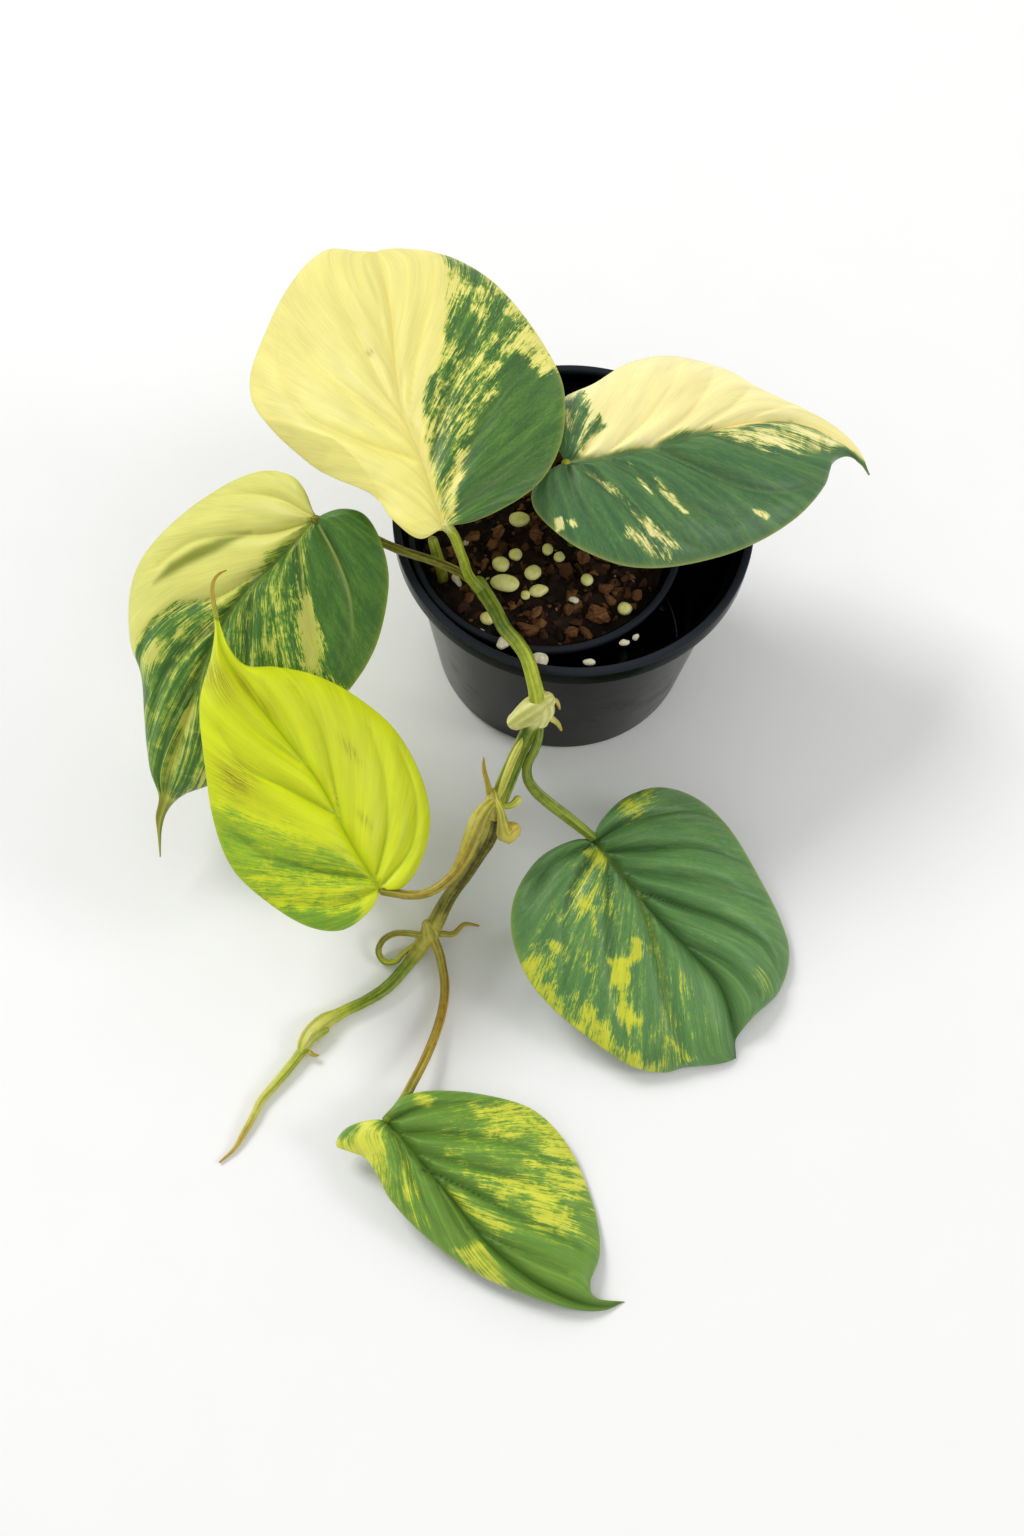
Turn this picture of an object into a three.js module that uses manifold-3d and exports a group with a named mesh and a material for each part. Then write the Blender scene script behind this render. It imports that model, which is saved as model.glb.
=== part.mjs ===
// A variegated philodendron growing in an 8 cm nursery pot, which stands inside a 10.5 cm one. The vine
// climbs over both rims, hangs down the front and trails along the surface that the pots stand on.
// Millimetres, +Z up. The origin is the centre of the outer pot's base, and the vine leaves towards -Y.
import * as THREE from 'three';
import { mergeVertices } from 'three/addons/utils/BufferGeometryUtils.js';
import Module from 'manifold-3d';

const wasm = await Module();
wasm.setup();

// ---- Driving dimensions ----
const GAP = 0.35; // clearance between neighbouring pieces
const LEAF_THICKNESS = 0.6;
const POT_SIDES = 48;
const STEM_SIDES = 8;
const OUTER_POT = { rim: 52.5, top: 48.5, base: 40, height: 75, skirt: 7, lip: 2.4, wall: 1.2 };
const INNER_POT = { rim: 40, top: 37.8, base: 28.5, height: 71.2, skirt: 3.4, lip: 2.0, wall: 1.1 };
const OUTER_HOLES = { count: 8, ring: 27, radius: 3 };
const INNER_HOLES = { count: 6, ring: 18, radius: 2.5 };
// The inner pot leans against the outer pot's ledge, off centre, and stands on its floor.
const INNER_PLACE = new THREE.Vector3(-7.8, -4.8, OUTER_POT.wall + GAP);
const MIX_EDGE = 66.6; // height of the potting mix where it meets the inner pot
const MIX_DOME = 2.2; // how far its middle stands above that edge
const BURIED = 56; // how low the planted stems reach
const POCKET_DEPTH = 40; // each planted stem's pocket, which runs out through the top of the mix
const POCKET_ROOM = 0.6; // how much wider a pocket is than its stem
const CHIP_BREAK = 0.28; // how far a corner of a bark chip may be broken in, as a share of its reach
const SQUASH = 0.85; // height of a pellet, as a share of its width

const COLOURS = {
  pot: 0x101114,
  mix: 0x2a1c14,
  bark: 0x5d3020,
  pellet: 0xcdd28a,
  crumb: 0xd9d3c0,
  vine: 0x6f8f3a,
  petiole: 0x7f8a3f,
  root: 0xb49a5a,
  sheath: 0xa8a060,
  cream: 0xf0e6a0,
  green: 0x3f6b45,
  lime: 0xa9c832,
};

const object = new THREE.Group();

// ---- Helpers ----
function addPiece(name, geometry, colour, roughness) {
  const material = new THREE.MeshStandardMaterial({ color: colour, roughness, metalness: 0 });
  const mesh = new THREE.Mesh(geometry, material);
  mesh.name = name;
  object.add(mesh);
  return mesh;
}

function toSolid(geometry) {
  const bare = geometry.clone();
  bare.deleteAttribute('normal');
  bare.deleteAttribute('uv');
  const merged = mergeVertices(bare, 1e-4);
  const vertProperties = merged.getAttribute('position').array;
  const triVerts = new Uint32Array(merged.index.array);
  return new wasm.Manifold(new wasm.Mesh({ numProp: 3, vertProperties, triVerts }));
}

function toGeometry(solid) {
  const mesh = solid.getMesh();
  const geometry = new THREE.BufferGeometry();
  geometry.setAttribute('position', new THREE.BufferAttribute(mesh.vertProperties, 3));
  geometry.setIndex(new THREE.BufferAttribute(mesh.triVerts, 1));
  geometry.computeVertexNormals();
  return geometry;
}

function upright(geometry) {
  return geometry.rotateX(Math.PI / 2);
}

// Subtracts every cutter from a geometry.
function cut(geometry, cutters) {
  let solid = toSolid(geometry);
  for (const cutter of cutters) {
    solid = solid.subtract(toSolid(cutter));
  }
  return toGeometry(solid);
}

// A repeatable number from 0 to 1 for each whole number.
function scatter(seed) {
  const value = Math.sin(seed * 12.9898 + 4.1) * 43758.5453;
  return value - Math.floor(value);
}

// ---- The two pots ----
const inside = (pot) => ({ floor: pot.base - pot.wall, top: pot.top - pot.wall });

// A nursery pot: a tapered wall that steps out to a short upright rim, with a rounded lip.
const FOOT = 2.5; // radius of the corner between base and wall
const BEVEL = 0.5; // small corners of the rim
const LIP_ROUND = 0.8; // larger corners of the lip

function potGeometry(pot, holes) {
  const step = pot.height - pot.skirt;
  const inner = inside(pot);
  const lipInside = pot.rim - pot.lip;
  const profile = [
    [0, 0],
    [pot.base - FOOT, 0],
    [pot.base - FOOT / 3, FOOT / 4],
    [pot.base, FOOT],
    [pot.top, step],
    [pot.rim - BEVEL, step],
    [pot.rim, step + BEVEL],
    [pot.rim, pot.height - LIP_ROUND],
    [pot.rim - LIP_ROUND, pot.height],
    [lipInside + BEVEL, pot.height],
    [lipInside, pot.height - LIP_ROUND],
    [lipInside, step + pot.wall + BEVEL],
    [lipInside - BEVEL, step + pot.wall],
    [inner.top, step + pot.wall],
    [inner.floor, FOOT + pot.wall],
    [inner.floor - FOOT, pot.wall],
    [0, pot.wall],
  ].map(([radius, height]) => new THREE.Vector2(radius, height));
  const drains = [];
  for (let i = 0; i < holes.count; i += 1) {
    const angle = ((i + 0.5) / holes.count) * Math.PI * 2;
    const drain = upright(new THREE.CylinderGeometry(holes.radius, holes.radius, pot.wall * 4, 12));
    drains.push(drain.translate(Math.cos(angle) * holes.ring, Math.sin(angle) * holes.ring, 0));
  }
  return cut(upright(new THREE.LatheGeometry(profile, POT_SIDES)), drains);
}

addPiece('outer_pot', potGeometry(OUTER_POT, OUTER_HOLES), COLOURS.pot, 0.35);
addPiece('inner_pot', potGeometry(INNER_POT, INNER_HOLES), COLOURS.pot, 0.4).position.copy(INNER_PLACE);

// ---- Stems: [x, y, z, radius] along each centre line ----
const STEMS = {
  vine: [
    [-26.2, -22.8, BURIED, 2.1],
    [-26.2, -23, 68, 2.1],
    [-25.8, -26, 75.5, 2.2],
    [-23.6, -31.6, 79.4, 2.2],
    [-20.5, -36.9, 80.5, 2.1],
    [-17.3, -43.0, 81, 2.0],
    [-13.5, -47.3, 81, 2.0],
    [-11.0, -50.8, 80.5, 2.0],
    [-9.1, -55.3, 79, 2.1],
    [-7.4, -59.5, 75.5, 2.3],
    [-6.9, -62.2, 70, 3.0],
    [-8.7, -65.3, 65, 2.2],
    [-12.1, -70.1, 56, 2.0],
    [-16.3, -79.4, 44, 2.2],
    [-16.8, -83.7, 37, 2.2],
    [-22.6, -91.6, 25, 2.1],
    [-28.9, -98.1, 14, 2.2],
    [-33.7, -106, 6, 2.7],
    [-40, -116.2, 3, 1.9],
    [-46, -123.7, 2.6, 1.8],
    [-52, -128.2, 2.5, 1.7],
    [-57.8, -131.7, 2.6, 1.8],
    [-63.5, -136.2, 3.3, 2.6],
    [-67.3, -142, 3, 2.2],
    [-67.9, -144.3, 2.8, 1.6],
  ],
  growing_tip: [
    [-68.3, -145.4, 2.6, 1.4],
    [-71.9, -150.5, 2.3, 1.4],
    [-75.3, -155.3, 2, 1.3],
    [-78.4, -160, 1.9, 1.2],
    [-79.6, -163.5, 1.8, 1.1],
    [-82, -169.1, 1.5, 0.9],
    [-84.2, -173.7, 1.1, 0.6],
    [-87.9, -177.9, 0.7, 0.3],
  ],
  old_stem: [
    [-36.4, -20, BURIED, 1.6],
    [-36.5, -20.1, 68, 1.6],
    [-37.8, -20, 78, 1.6],
    [-39.2, -19.3, 86, 1.4],
  ],
  petiole_a: [
    [-28.2, -28.4, 81.6, 1.4],
    [-30.5, -27.8, 93, 1.4],
    [-33.7, -28.3, 107, 1.4],
    [-35, -29.5, 110.2, 1.3],
  ],
  petiole_b: [
    [-30.9, -25.9, 81, 1.3],
    [-37, -24.4, 82.6, 1.3],
    [-45.1, -21.2, 81.2, 1.3],
    [-51, -18.2, 79.4, 1.3],
    [-56, -16.2, 79.6, 1.3],
    [-63.1, -15.4, 82, 1.3],
    [-68.5, -15.8, 85.5, 1.3],
    [-72, -16.5, 87.3, 1.3],
  ],
  petiole_c: [
    [0, -5.2, BURIED, 1.5],
    [-0.1, -5.4, 72, 1.4],
    [-1.1, -4.8, 84, 1.4],
    [-2.7, -2.8, 95, 1.4],
    [-3.6, -2, 101.8, 1.3],
  ],
  petiole_d: [
    [-5.5, -65.6, 62.6, 1.2],
    [-6.2, -67.6, 58, 1.3],
    [-8.4, -71.2, 53, 1.4],
    [-8.1, -73.2, 49.4, 1.4],
    [-5.4, -75.2, 44.5, 1.4],
    [-1.2, -76.6, 40, 1.4],
    [4.4, -78.2, 34.8, 1.4],
    [11.6, -80.3, 29, 1.3],
  ],
  petiole_e: [
    [-18.5, -82.2, 48.2, 2.0],
    [-21, -87, 48.6, 2.6],
    [-22.6, -92.2, 48, 2.5],
    [-24.2, -97.4, 46.8, 2.1],
    [-26.4, -101.8, 45.6, 1.7],
    [-30.4, -106.2, 44.5, 1.4],
    [-34.9, -108.6, 43.7, 1.3],
    [-39.6, -109.1, 43.3, 1.3],
    [-43.5, -108.8, 43.2, 1.3],
    [-46, -109, 43.4, 1.3],
  ],
  petiole_f: [
    [-31.2, -110.2, 4.2, 1.4],
    [-28.9, -116.9, 3.4, 1.4],
    [-28, -121.5, 3.2, 1.4],
    [-27.9, -126.3, 3.4, 1.4],
    [-28.3, -130.6, 3.9, 1.4],
    [-30.8, -141.8, 6, 1.4],
    [-34.4, -152.2, 8.3, 1.4],
    [-38, -160.4, 9.8, 1.4],
    [-40.9, -164.9, 10.5, 1.3],
  ],
  torn_sheath: [
    [-12.3, -80, 44.4, 1.0],
    [-11.4, -79.4, 44.5, 1.1],
    [-10.5, -78.4, 44.9, 1.3],
  ],
  curled_sheath: [
    [-15, -82.8, 46, 1.0],
    [-14.6, -84.2, 44.4, 1.3],
    [-13.9, -85.8, 42.4, 2],
    [-12.9, -87, 41, 2.7],
    [-11.6, -86.2, 40.9, 2.2],
  ],
  hook_root_upper: [
    [-3.4, -60.2, 72.5, 0.7],
    [-2.4, -59.9, 73, 0.7],
    [-1.2, -60, 71, 0.6],
    [-0.6, -60.3, 68.6, 0.4],
  ],
  hook_root_lower: [
    [-3.2, -63.5, 69.3, 0.7],
    [-2.2, -63.9, 68.8, 0.7],
    [-0.8, -63.9, 66.5, 0.6],
    [0.3, -64, 63, 0.4],
  ],
  spike_root: [
    [-18.6, -78.1, 48.2, 1.0],
    [-19.4, -76.8, 52, 0.8],
    [-20.6, -74.2, 55.4, 0.6],
    [-20.9, -72.2, 58.6, 0.3],
  ],
  side_root: [
    [-30.3, -106.1, 5.5, 1.0],
    [-26.8, -105.5, 4.5, 0.9],
    [-23.7, -102.2, 4.4, 0.7],
    [-19.4, -101.6, 2.5, 0.4],
  ],
  looped_root: [
    [-38.6, -107, 6.2, 0.9],
    [-41, -106.6, 5.8, 0.9],
    [-44.4, -106.9, 5, 0.9],
    [-47.6, -108.9, 4, 0.9],
    [-48.6, -112.2, 2.6, 0.9],
    [-46.5, -114.9, 1.9, 0.9],
    [-43.2, -114.5, 2, 0.9],
    [-41.6, -112.6, 3.4, 0.7],
  ],
  spur_root: [
    [-65.5, -144.7, 3.2, 0.8],
    [-64.4, -145.2, 2.6, 0.6],
    [-63.2, -145, 2.2, 0.4],
  ],
};

// A round stem of changing radius with flat ends: one ring of points at each step along the curve.
function stemGeometry(stem, stepLength) {
  const points = stem.map(([x, y, z]) => new THREE.Vector3(x, y, z));
  const radii = stem.map((point) => point[3]);
  const curve = new THREE.CatmullRomCurve3(points, false, 'centripetal');
  const steps = Math.max(4, Math.round(curve.getLength() / stepLength));
  const frames = curve.computeFrenetFrames(steps, false);
  const radiusAt = (t) => {
    const place = t * (radii.length - 1);
    const before = Math.min(Math.floor(place), radii.length - 2);
    return THREE.MathUtils.lerp(radii[before], radii[before + 1], place - before);
  };
  const positions = [];
  for (let i = 0; i <= steps; i += 1) {
    const t = curve.getUtoTmapping(i / steps);
    const centre = curve.getPoint(t);
    for (let j = 0; j < STEM_SIDES; j += 1) {
      const angle = (j / STEM_SIDES) * Math.PI * 2;
      const out = frames.normals[i].clone().multiplyScalar(Math.cos(angle));
      out.addScaledVector(frames.binormals[i], Math.sin(angle));
      positions.push(...centre.clone().addScaledVector(out, radiusAt(t)).toArray());
    }
  }
  const indices = [];
  for (let i = 0; i < steps; i += 1) {
    for (let j = 0; j < STEM_SIDES; j += 1) {
      const a = i * STEM_SIDES + j;
      const b = i * STEM_SIDES + ((j + 1) % STEM_SIDES);
      indices.push(a, b, b + STEM_SIDES, a, b + STEM_SIDES, a + STEM_SIDES);
    }
  }
  const last = steps * STEM_SIDES;
  for (let j = 1; j < STEM_SIDES - 1; j += 1) {
    indices.push(0, j + 1, j);
    indices.push(last, last + j, last + j + 1);
  }
  const geometry = new THREE.BufferGeometry();
  geometry.setAttribute('position', new THREE.Float32BufferAttribute(positions, 3));
  geometry.setIndex(indices);
  geometry.computeVertexNormals();
  return geometry;
}

function stemColour(name) {
  if (name === 'vine' || name === 'growing_tip' || name === 'old_stem') return COLOURS.vine;
  if (name.includes('root')) return COLOURS.root;
  return name.includes('sheath') ? COLOURS.sheath : COLOURS.petiole;
}

for (const [name, stem] of Object.entries(STEMS)) {
  const stepLength = name.includes('root') ? 2 : 4;
  addPiece(name, stemGeometry(stem, stepLength), stemColour(name), 0.5);
}

// ---- Potting mix, with a pocket for each planted stem ----
const MIX_CENTRE = new THREE.Vector2(INNER_PLACE.x, INNER_PLACE.y);
const MIX_RADIUS = 35.6;

function mixHeight(x, y) {
  const share = MIX_CENTRE.distanceTo(new THREE.Vector2(x, y)) / MIX_RADIUS;
  return MIX_EDGE + MIX_DOME * (1 - share * share);
}

function mixGeometry() {
  const bottom = INNER_PLACE.z + INNER_POT.wall + GAP;
  const bottomRadius = inside(INNER_POT).floor - FOOT - GAP;
  const profile = [
    [0, bottom],
    [bottomRadius, bottom],
    [bottomRadius + FOOT - GAP, bottom + FOOT],
    [MIX_RADIUS, MIX_EDGE],
  ];
  for (const share of [0.8, 0.6, 0.4, 0.2, 0]) {
    profile.push([MIX_RADIUS * share, MIX_EDGE + MIX_DOME * (1 - share * share)]);
  }
  const points = profile.map(([radius, height]) => new THREE.Vector2(radius, height));
  const body = upright(new THREE.LatheGeometry(points, POT_SIDES));
  body.translate(MIX_CENTRE.x, MIX_CENTRE.y, 0);
  const pockets = ['vine', 'old_stem', 'petiole_c'].map((name) => {
    const [x, y, z, radius] = STEMS[name][0];
    const width = radius + POCKET_ROOM;
    const pocket = upright(new THREE.CylinderGeometry(width, width, POCKET_DEPTH, 12));
    return pocket.translate(x, y, z - GAP + POCKET_DEPTH / 2);
  });
  return cut(body, pockets);
}

addPiece('potting_mix', mixGeometry(), COLOURS.mix, 0.95);

// ---- Bark chips: [x, y, length, width, height, turn in degrees] ----
const CHIPS = [
  [8.7, -29.5, 9, 6.6, 3.4, 20],
  [-10.6, -36, 8.2, 3.6, 3, -8],
  [-21, -5, 5, 3.8, 2.8, 40],
  [-9.9, -5.2, 4.8, 4.2, 3, -30],
  [-29, -6.7, 5, 4, 2.6, 15],
  [3.4, -11.4, 5, 4.2, 3, 60],
  [10.8, -21, 5, 4, 2.6, -20],
  [-15.7, -28.4, 4, 3.4, 2.2, 0],
  [-9, -30.2, 4.8, 3.6, 2.6, 35],
  [-3.8, 0.6, 5.4, 4, 3, -50],
  [1, -35.4, 5, 3.6, 2.4, 10],
];

// A broken block of bark: a box with every corner moved a little.
function chipGeometry([, , length, width, height, turn], seed) {
  const block = new THREE.BoxGeometry(length, width, height);
  const chip = mergeVertices(block.deleteAttribute('normal').deleteAttribute('uv'));
  const corners = chip.getAttribute('position');
  for (let i = 0; i < corners.count; i += 1) {
    const shrink = (axis) => 1 - CHIP_BREAK * (1 - scatter(seed * 31 + i * 3 + axis));
    corners.setXYZ(i, corners.getX(i) * shrink(0), corners.getY(i) * shrink(1), corners.getZ(i) * shrink(2));
  }
  return chip.rotateZ(THREE.MathUtils.degToRad(turn));
}

// Sets a piece down over (x, y), just clear of what lies below it.
function restOn(mesh, x, y, height) {
  mesh.geometry.computeBoundingBox();
  mesh.position.set(x, y, height + GAP - mesh.geometry.boundingBox.min.z);
}

CHIPS.forEach((chip, i) => {
  const [x, y] = chip;
  restOn(addPiece(`bark_chip_${i + 1}`, chipGeometry(chip, i + 1), COLOURS.bark, 0.9), x, y, mixHeight(x, y));
});

// ---- Slow-release pellets: [x, y, length, width, turn in degrees] ----
const PELLETS = [
  [-15.7, -0.9, 6.2, 4.6, 10],
  [-16, -12.6, 3.8, 3.8, 0],
  [-20, -16.2, 5.4, 4.6, -20],
  [-6.9, -10.1, 3.2, 3.8, 0],
  [-3.3, -12.3, 3.2, 3.2, 0],
  [-10.6, -18.3, 5.2, 4.2, 30],
  [-18.4, -22.4, 8.6, 5.2, -5],
  [-8.6, -23.8, 5, 4, 15],
  [-12.3, -25, 2.8, 2.8, 0],
  [5, -19.1, 3.6, 3.6, 0],
  [16.3, -27.1, 4.2, 4, 0],
  [-22.6, -33.4, 4.2, 4, 0],
];

function pelletGeometry([, , length, width, turn]) {
  const pellet = new THREE.SphereGeometry(0.5, 10, 6);
  pellet.scale(length, width, Math.min(length, width) * SQUASH);
  return pellet.rotateZ(THREE.MathUtils.degToRad(turn));
}

PELLETS.forEach((pellet, i) => {
  const [x, y] = pellet;
  restOn(addPiece(`pellet_${i + 1}`, pelletGeometry(pellet), COLOURS.pellet, 0.6), x, y, mixHeight(x, y));
});

// A lump of pumice caught on the outer pot's ledge, in front of the inner pot.
const LUMP = [-7.2, -47.1, 5.2, 4, 10];
const LEDGE = OUTER_POT.height - OUTER_POT.skirt + OUTER_POT.wall;
restOn(addPiece('pumice_lump', pelletGeometry(LUMP), COLOURS.crumb, 0.8), LUMP[0], LUMP[1], LEDGE);

// ---- Leaf blades ----
// Each blade is drawn flat, as [across, along] from where the petiole joins it, then set in space.
// heading and pitch point its midrib, bank rolls it, bend curves the midrib down over its length,
// and droop is how far each half falls at 35 mm from the midrib.
const DROOP_WIDTH = 35;
const LEAVES = {
  leaf_a: {
    base: [-35.3, -30.6, 112], heading: 106, pitch: 10, bank: 0, bend: 28, length: 100, droop: [6.2, 4.6],
    spine: [[-2, 22], [-4, 37], [-3, 53], [-1, 68], [0, 85]],
    left: [[-7, -2], [-13, 5], [-17, 15], [-31, 32], [-41, 48], [-43, 61], [-39, 75], [-30, 91], [-19, 103],
      [-12, 107], [-5, 103]],
    right: [[10, 1], [27, 9], [37, 21], [42, 38], [42, 52], [38, 67], [29, 86], [18, 99], [8, 102]],
    tip: [0, 101],
    colour: COLOURS.cream,
  },
  leaf_b: {
    base: [-72.3, -17, 90], heading: 238, pitch: -33, bank: 0, bend: 14, length: 100, droop: [12, 5],
    spine: [[4, 16], [9, 32], [10, 50], [7, 70], [5, 86], [2.5, 99], [1, 107]],
    left: [[-5, -6], [-12, -8], [-20, -3], [-26, 6], [-30, 22], [-30, 36], [-27, 50], [-19, 69], [-8, 85],
      [-1, 94], [1.2, 102], [-1.2, 110]],
    right: [[7, -5], [14, -6], [23, -2], [32, 8], [40, 23], [45, 40], [43, 53], [36, 64], [28, 70], [21, 80],
      [12, 91], [5, 97], [3, 104], [-0.4, 110]],
    tip: [-3, 115],
    colour: COLOURS.green,
  },
  leaf_c: {
    base: [-3.8, -1.8, 104], heading: 12, pitch: -3, bank: 5, bend: 22, length: 80, droop: [10, 8],
    spine: [[-1, 12], [-5, 30], [-10, 46], [-14, 62], [-15, 75], [-12, 86], [-7, 93]],
    left: [[-6, -2], [-15, -2], [-24, 4], [-30, 15], [-39, 29], [-43, 46], [-40, 61], [-31, 69], [-23, 78],
      [-16, 88], [-8, 95]],
    right: [[5, -9], [11, -10.5], [18, -6], [25, 2], [30, 14], [30, 29], [25, 51], [17, 67], [6, 79],
      [-2, 84], [-5.5, 90], [-4, 95]],
    tip: [0, 97],
    colour: COLOURS.green,
  },
  leaf_d: {
    base: [12.4, -81.2, 27], heading: -50, pitch: -5, bank: 0, bend: 28, length: 76, droop: [5.4, 3.1],
    spine: [[-1, 12], [-2, 28], [-5, 44], [-7, 57], [-4, 69]],
    left: [[-6, -3.5], [-16, -5.5], [-28, -3], [-36, 5], [-39, 17], [-38, 36], [-37, 52], [-33, 63],
      [-23, 70], [-11, 71], [-3, 73]],
    right: [[6, -3.5], [16, -5], [28, 0], [36, 10], [39, 24], [36, 41], [29, 60], [21, 69], [14, 72],
      [6, 76]],
    tip: [0, 78],
    colour: COLOURS.green,
  },
  leaf_e: {
    base: [-46.8, -109.3, 46], heading: 132, pitch: 24, bank: 0, bend: 4, length: 88, droop: [4, 3],
    spine: [[1, 18], [3, 34], [2, 52], [1, 68], [1.5, 79], [4.5, 86]],
    left: [[-6, -3], [-15, -3], [-22, 3], [-27, 14], [-30, 28], [-27, 42], [-20, 57], [-12, 71], [-2, 80],
      [3.5, 86], [6, 90.5]],
    right: [[6, -3], [15, 0], [24, 8], [29, 20], [30, 35], [26, 49], [20, 60], [12, 68], [5, 73], [4, 80],
      [6.4, 89]],
    tip: [9, 95],
    colour: COLOURS.lime,
  },
  leaf_f: {
    base: [-41.4, -165.3, 13], heading: -38, pitch: 2, bank: 0, bend: 20, length: 84, droop: [8, 12],
    spine: [[2, 16], [4, 30], [6, 44], [5, 60], [1, 73], [-4, 80.5]],
    left: [[-8, -1], [-16, 4], [-24, 13], [-31, 26], [-32, 37], [-29, 49], [-22, 62], [-14, 70], [-6, 73],
      [-4, 77]],
    right: [[4, -4], [9, -7.5], [14, -6.5], [12.8, -1.5], [11.5, 3], [13, 9], [15.5, 17], [16, 30], [14, 47],
      [9, 62], [3, 74], [-3, 81]],
    tip: [-9, 84],
    colour: COLOURS.green,
  },
};

// Gives the function that sets a flat point of a blade in space, a depth below its upper face.
function bladeSetter(leaf) {
  const [heading, pitch, bank] = [leaf.heading, leaf.pitch, leaf.bank].map(THREE.MathUtils.degToRad);
  const level = Math.cos(pitch);
  const forward = new THREE.Vector3(Math.cos(heading) * level, Math.sin(heading) * level, Math.sin(pitch));
  const right = forward.clone().cross(new THREE.Vector3(0, 0, 1)).normalize();
  right.applyAxisAngle(forward, bank);
  const up = right.clone().cross(forward);
  const base = new THREE.Vector3(...leaf.base);
  const curving = THREE.MathUtils.degToRad(leaf.bend) / leaf.length;
  return (across, along, depth) => {
    const turned = curving * along;
    const share = Math.abs(across) / DROOP_WIDTH;
    const lift = -leaf.droop[across > 0 ? 1 : 0] * share * share - depth;
    const point = base.clone().addScaledVector(right, across);
    point.addScaledVector(forward, Math.sin(turned) / curving + lift * Math.sin(turned));
    return point.addScaledVector(up, (Math.cos(turned) - 1) / curving + lift * Math.cos(turned));
  };
}

// A thin closed blade. Its rows run from the midrib to the margin, as its side veins do.
const ROWS = 18;
const COLUMNS = 4; // on each side of the midrib
const ROWS_AT_BASE = 1.5; // above 1, the side veins leave the midrib closer together near its base

function bladeGeometry(leaf) {
  const curve = (points) => {
    const through = [[0, 0], ...points, leaf.tip].map(([x, y]) => new THREE.Vector2(x, y));
    return new THREE.SplineCurve(through);
  };
  const spine = curve(leaf.spine);
  const margins = { left: curve(leaf.left), right: curve(leaf.right) };
  const set = bladeSetter(leaf);
  const positions = [];
  const width = COLUMNS * 2 + 1;
  for (const depth of [0, LEAF_THICKNESS]) {
    for (let i = 0; i <= ROWS; i += 1) {
      const middle = spine.getPointAt((i / ROWS) ** ROWS_AT_BASE);
      for (let j = -COLUMNS; j <= COLUMNS; j += 1) {
        const margin = (j < 0 ? margins.left : margins.right).getPointAt(i / ROWS);
        const place = middle.clone().lerp(margin, Math.abs(j) / COLUMNS);
        positions.push(...set(place.x, place.y, depth).toArray());
      }
    }
  }
  const under = (ROWS + 1) * width;
  const indices = [];
  const quad = (a, b, c, d) => indices.push(a, b, c, a, c, d);
  for (let i = 0; i < ROWS; i += 1) {
    const row = i * width;
    for (let j = 0; j < width - 1; j += 1) {
      const a = row + j;
      quad(a, a + 1, a + 1 + width, a + width);
      quad(a + under, a + width + under, a + 1 + width + under, a + 1 + under);
    }
    const end = row + width - 1;
    quad(row, row + width, row + width + under, row + under);
    quad(end, end + under, end + width + under, end + width);
  }
  const geometry = new THREE.BufferGeometry();
  geometry.setAttribute('position', new THREE.Float32BufferAttribute(positions, 3));
  geometry.setIndex(indices);
  return toGeometry(toSolid(dropSlivers(geometry)));
}

// Removes the faces whose corners fall together at a blade's base and tip.
function dropSlivers(geometry) {
  const merged = mergeVertices(geometry, 1e-3);
  const kept = [];
  for (let i = 0; i < merged.index.count; i += 3) {
    const corners = [0, 1, 2].map((k) => merged.index.getX(i + k));
    if (new Set(corners).size === 3) kept.push(...corners);
  }
  merged.setIndex(kept);
  return merged;
}

for (const [name, leaf] of Object.entries(LEAVES)) {
  addPiece(name, bladeGeometry(leaf), leaf.colour, 0.45);
}

export default object;
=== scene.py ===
# %% [markdown]
# # A trailing philodendron in its nursery pots
#
# The plant is a vine with six marbled, heart-shaped leaves. It grows in a small black nursery pot that
# stands inside a larger one, climbs over both rims and trails along the table. The sizes were settled in
# a CAD model first, so this lesson starts by loading that model. Each CAD part is then replaced by a
# detailed piece in the same place.

# %% Load the sized model
import itertools
import math

import bmesh
import bpy
import numpy as np
from mathutils import Matrix


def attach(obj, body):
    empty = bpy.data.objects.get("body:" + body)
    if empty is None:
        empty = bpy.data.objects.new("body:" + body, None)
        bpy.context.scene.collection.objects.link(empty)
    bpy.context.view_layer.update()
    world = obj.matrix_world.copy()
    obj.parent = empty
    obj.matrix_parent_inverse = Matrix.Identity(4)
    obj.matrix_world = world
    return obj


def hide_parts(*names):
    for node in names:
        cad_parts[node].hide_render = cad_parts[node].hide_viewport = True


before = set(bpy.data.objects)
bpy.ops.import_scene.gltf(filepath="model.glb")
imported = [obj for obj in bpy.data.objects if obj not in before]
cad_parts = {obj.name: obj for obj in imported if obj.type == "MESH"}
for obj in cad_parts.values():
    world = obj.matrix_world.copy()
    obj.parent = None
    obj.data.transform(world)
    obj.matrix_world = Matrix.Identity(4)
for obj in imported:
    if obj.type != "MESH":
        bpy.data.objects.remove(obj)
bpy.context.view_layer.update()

# %% [markdown]
# ## Working in millimetres
#
# A leaf vein is a fraction of a millimetre deep, so the shapes below are written in millimetres and scaled
# once, where the mesh is made. A shape is kept as plain arrays: its points, its faces, and any value that a
# finish wants to know at each point, such as how pale the leaf is there. Arrays can be joined and bent
# with numpy long before Blender sees them, and that is quicker than editing thousands of vertices.

# %% Shapes as arrays
MM = 0.001


def shape(points, faces, **values):
    """A shape: its points, its faces, and one value of each kind for every point."""
    return {"points": np.asarray(points, float), "faces": [list(f) for f in faces], "values": values}


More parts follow.
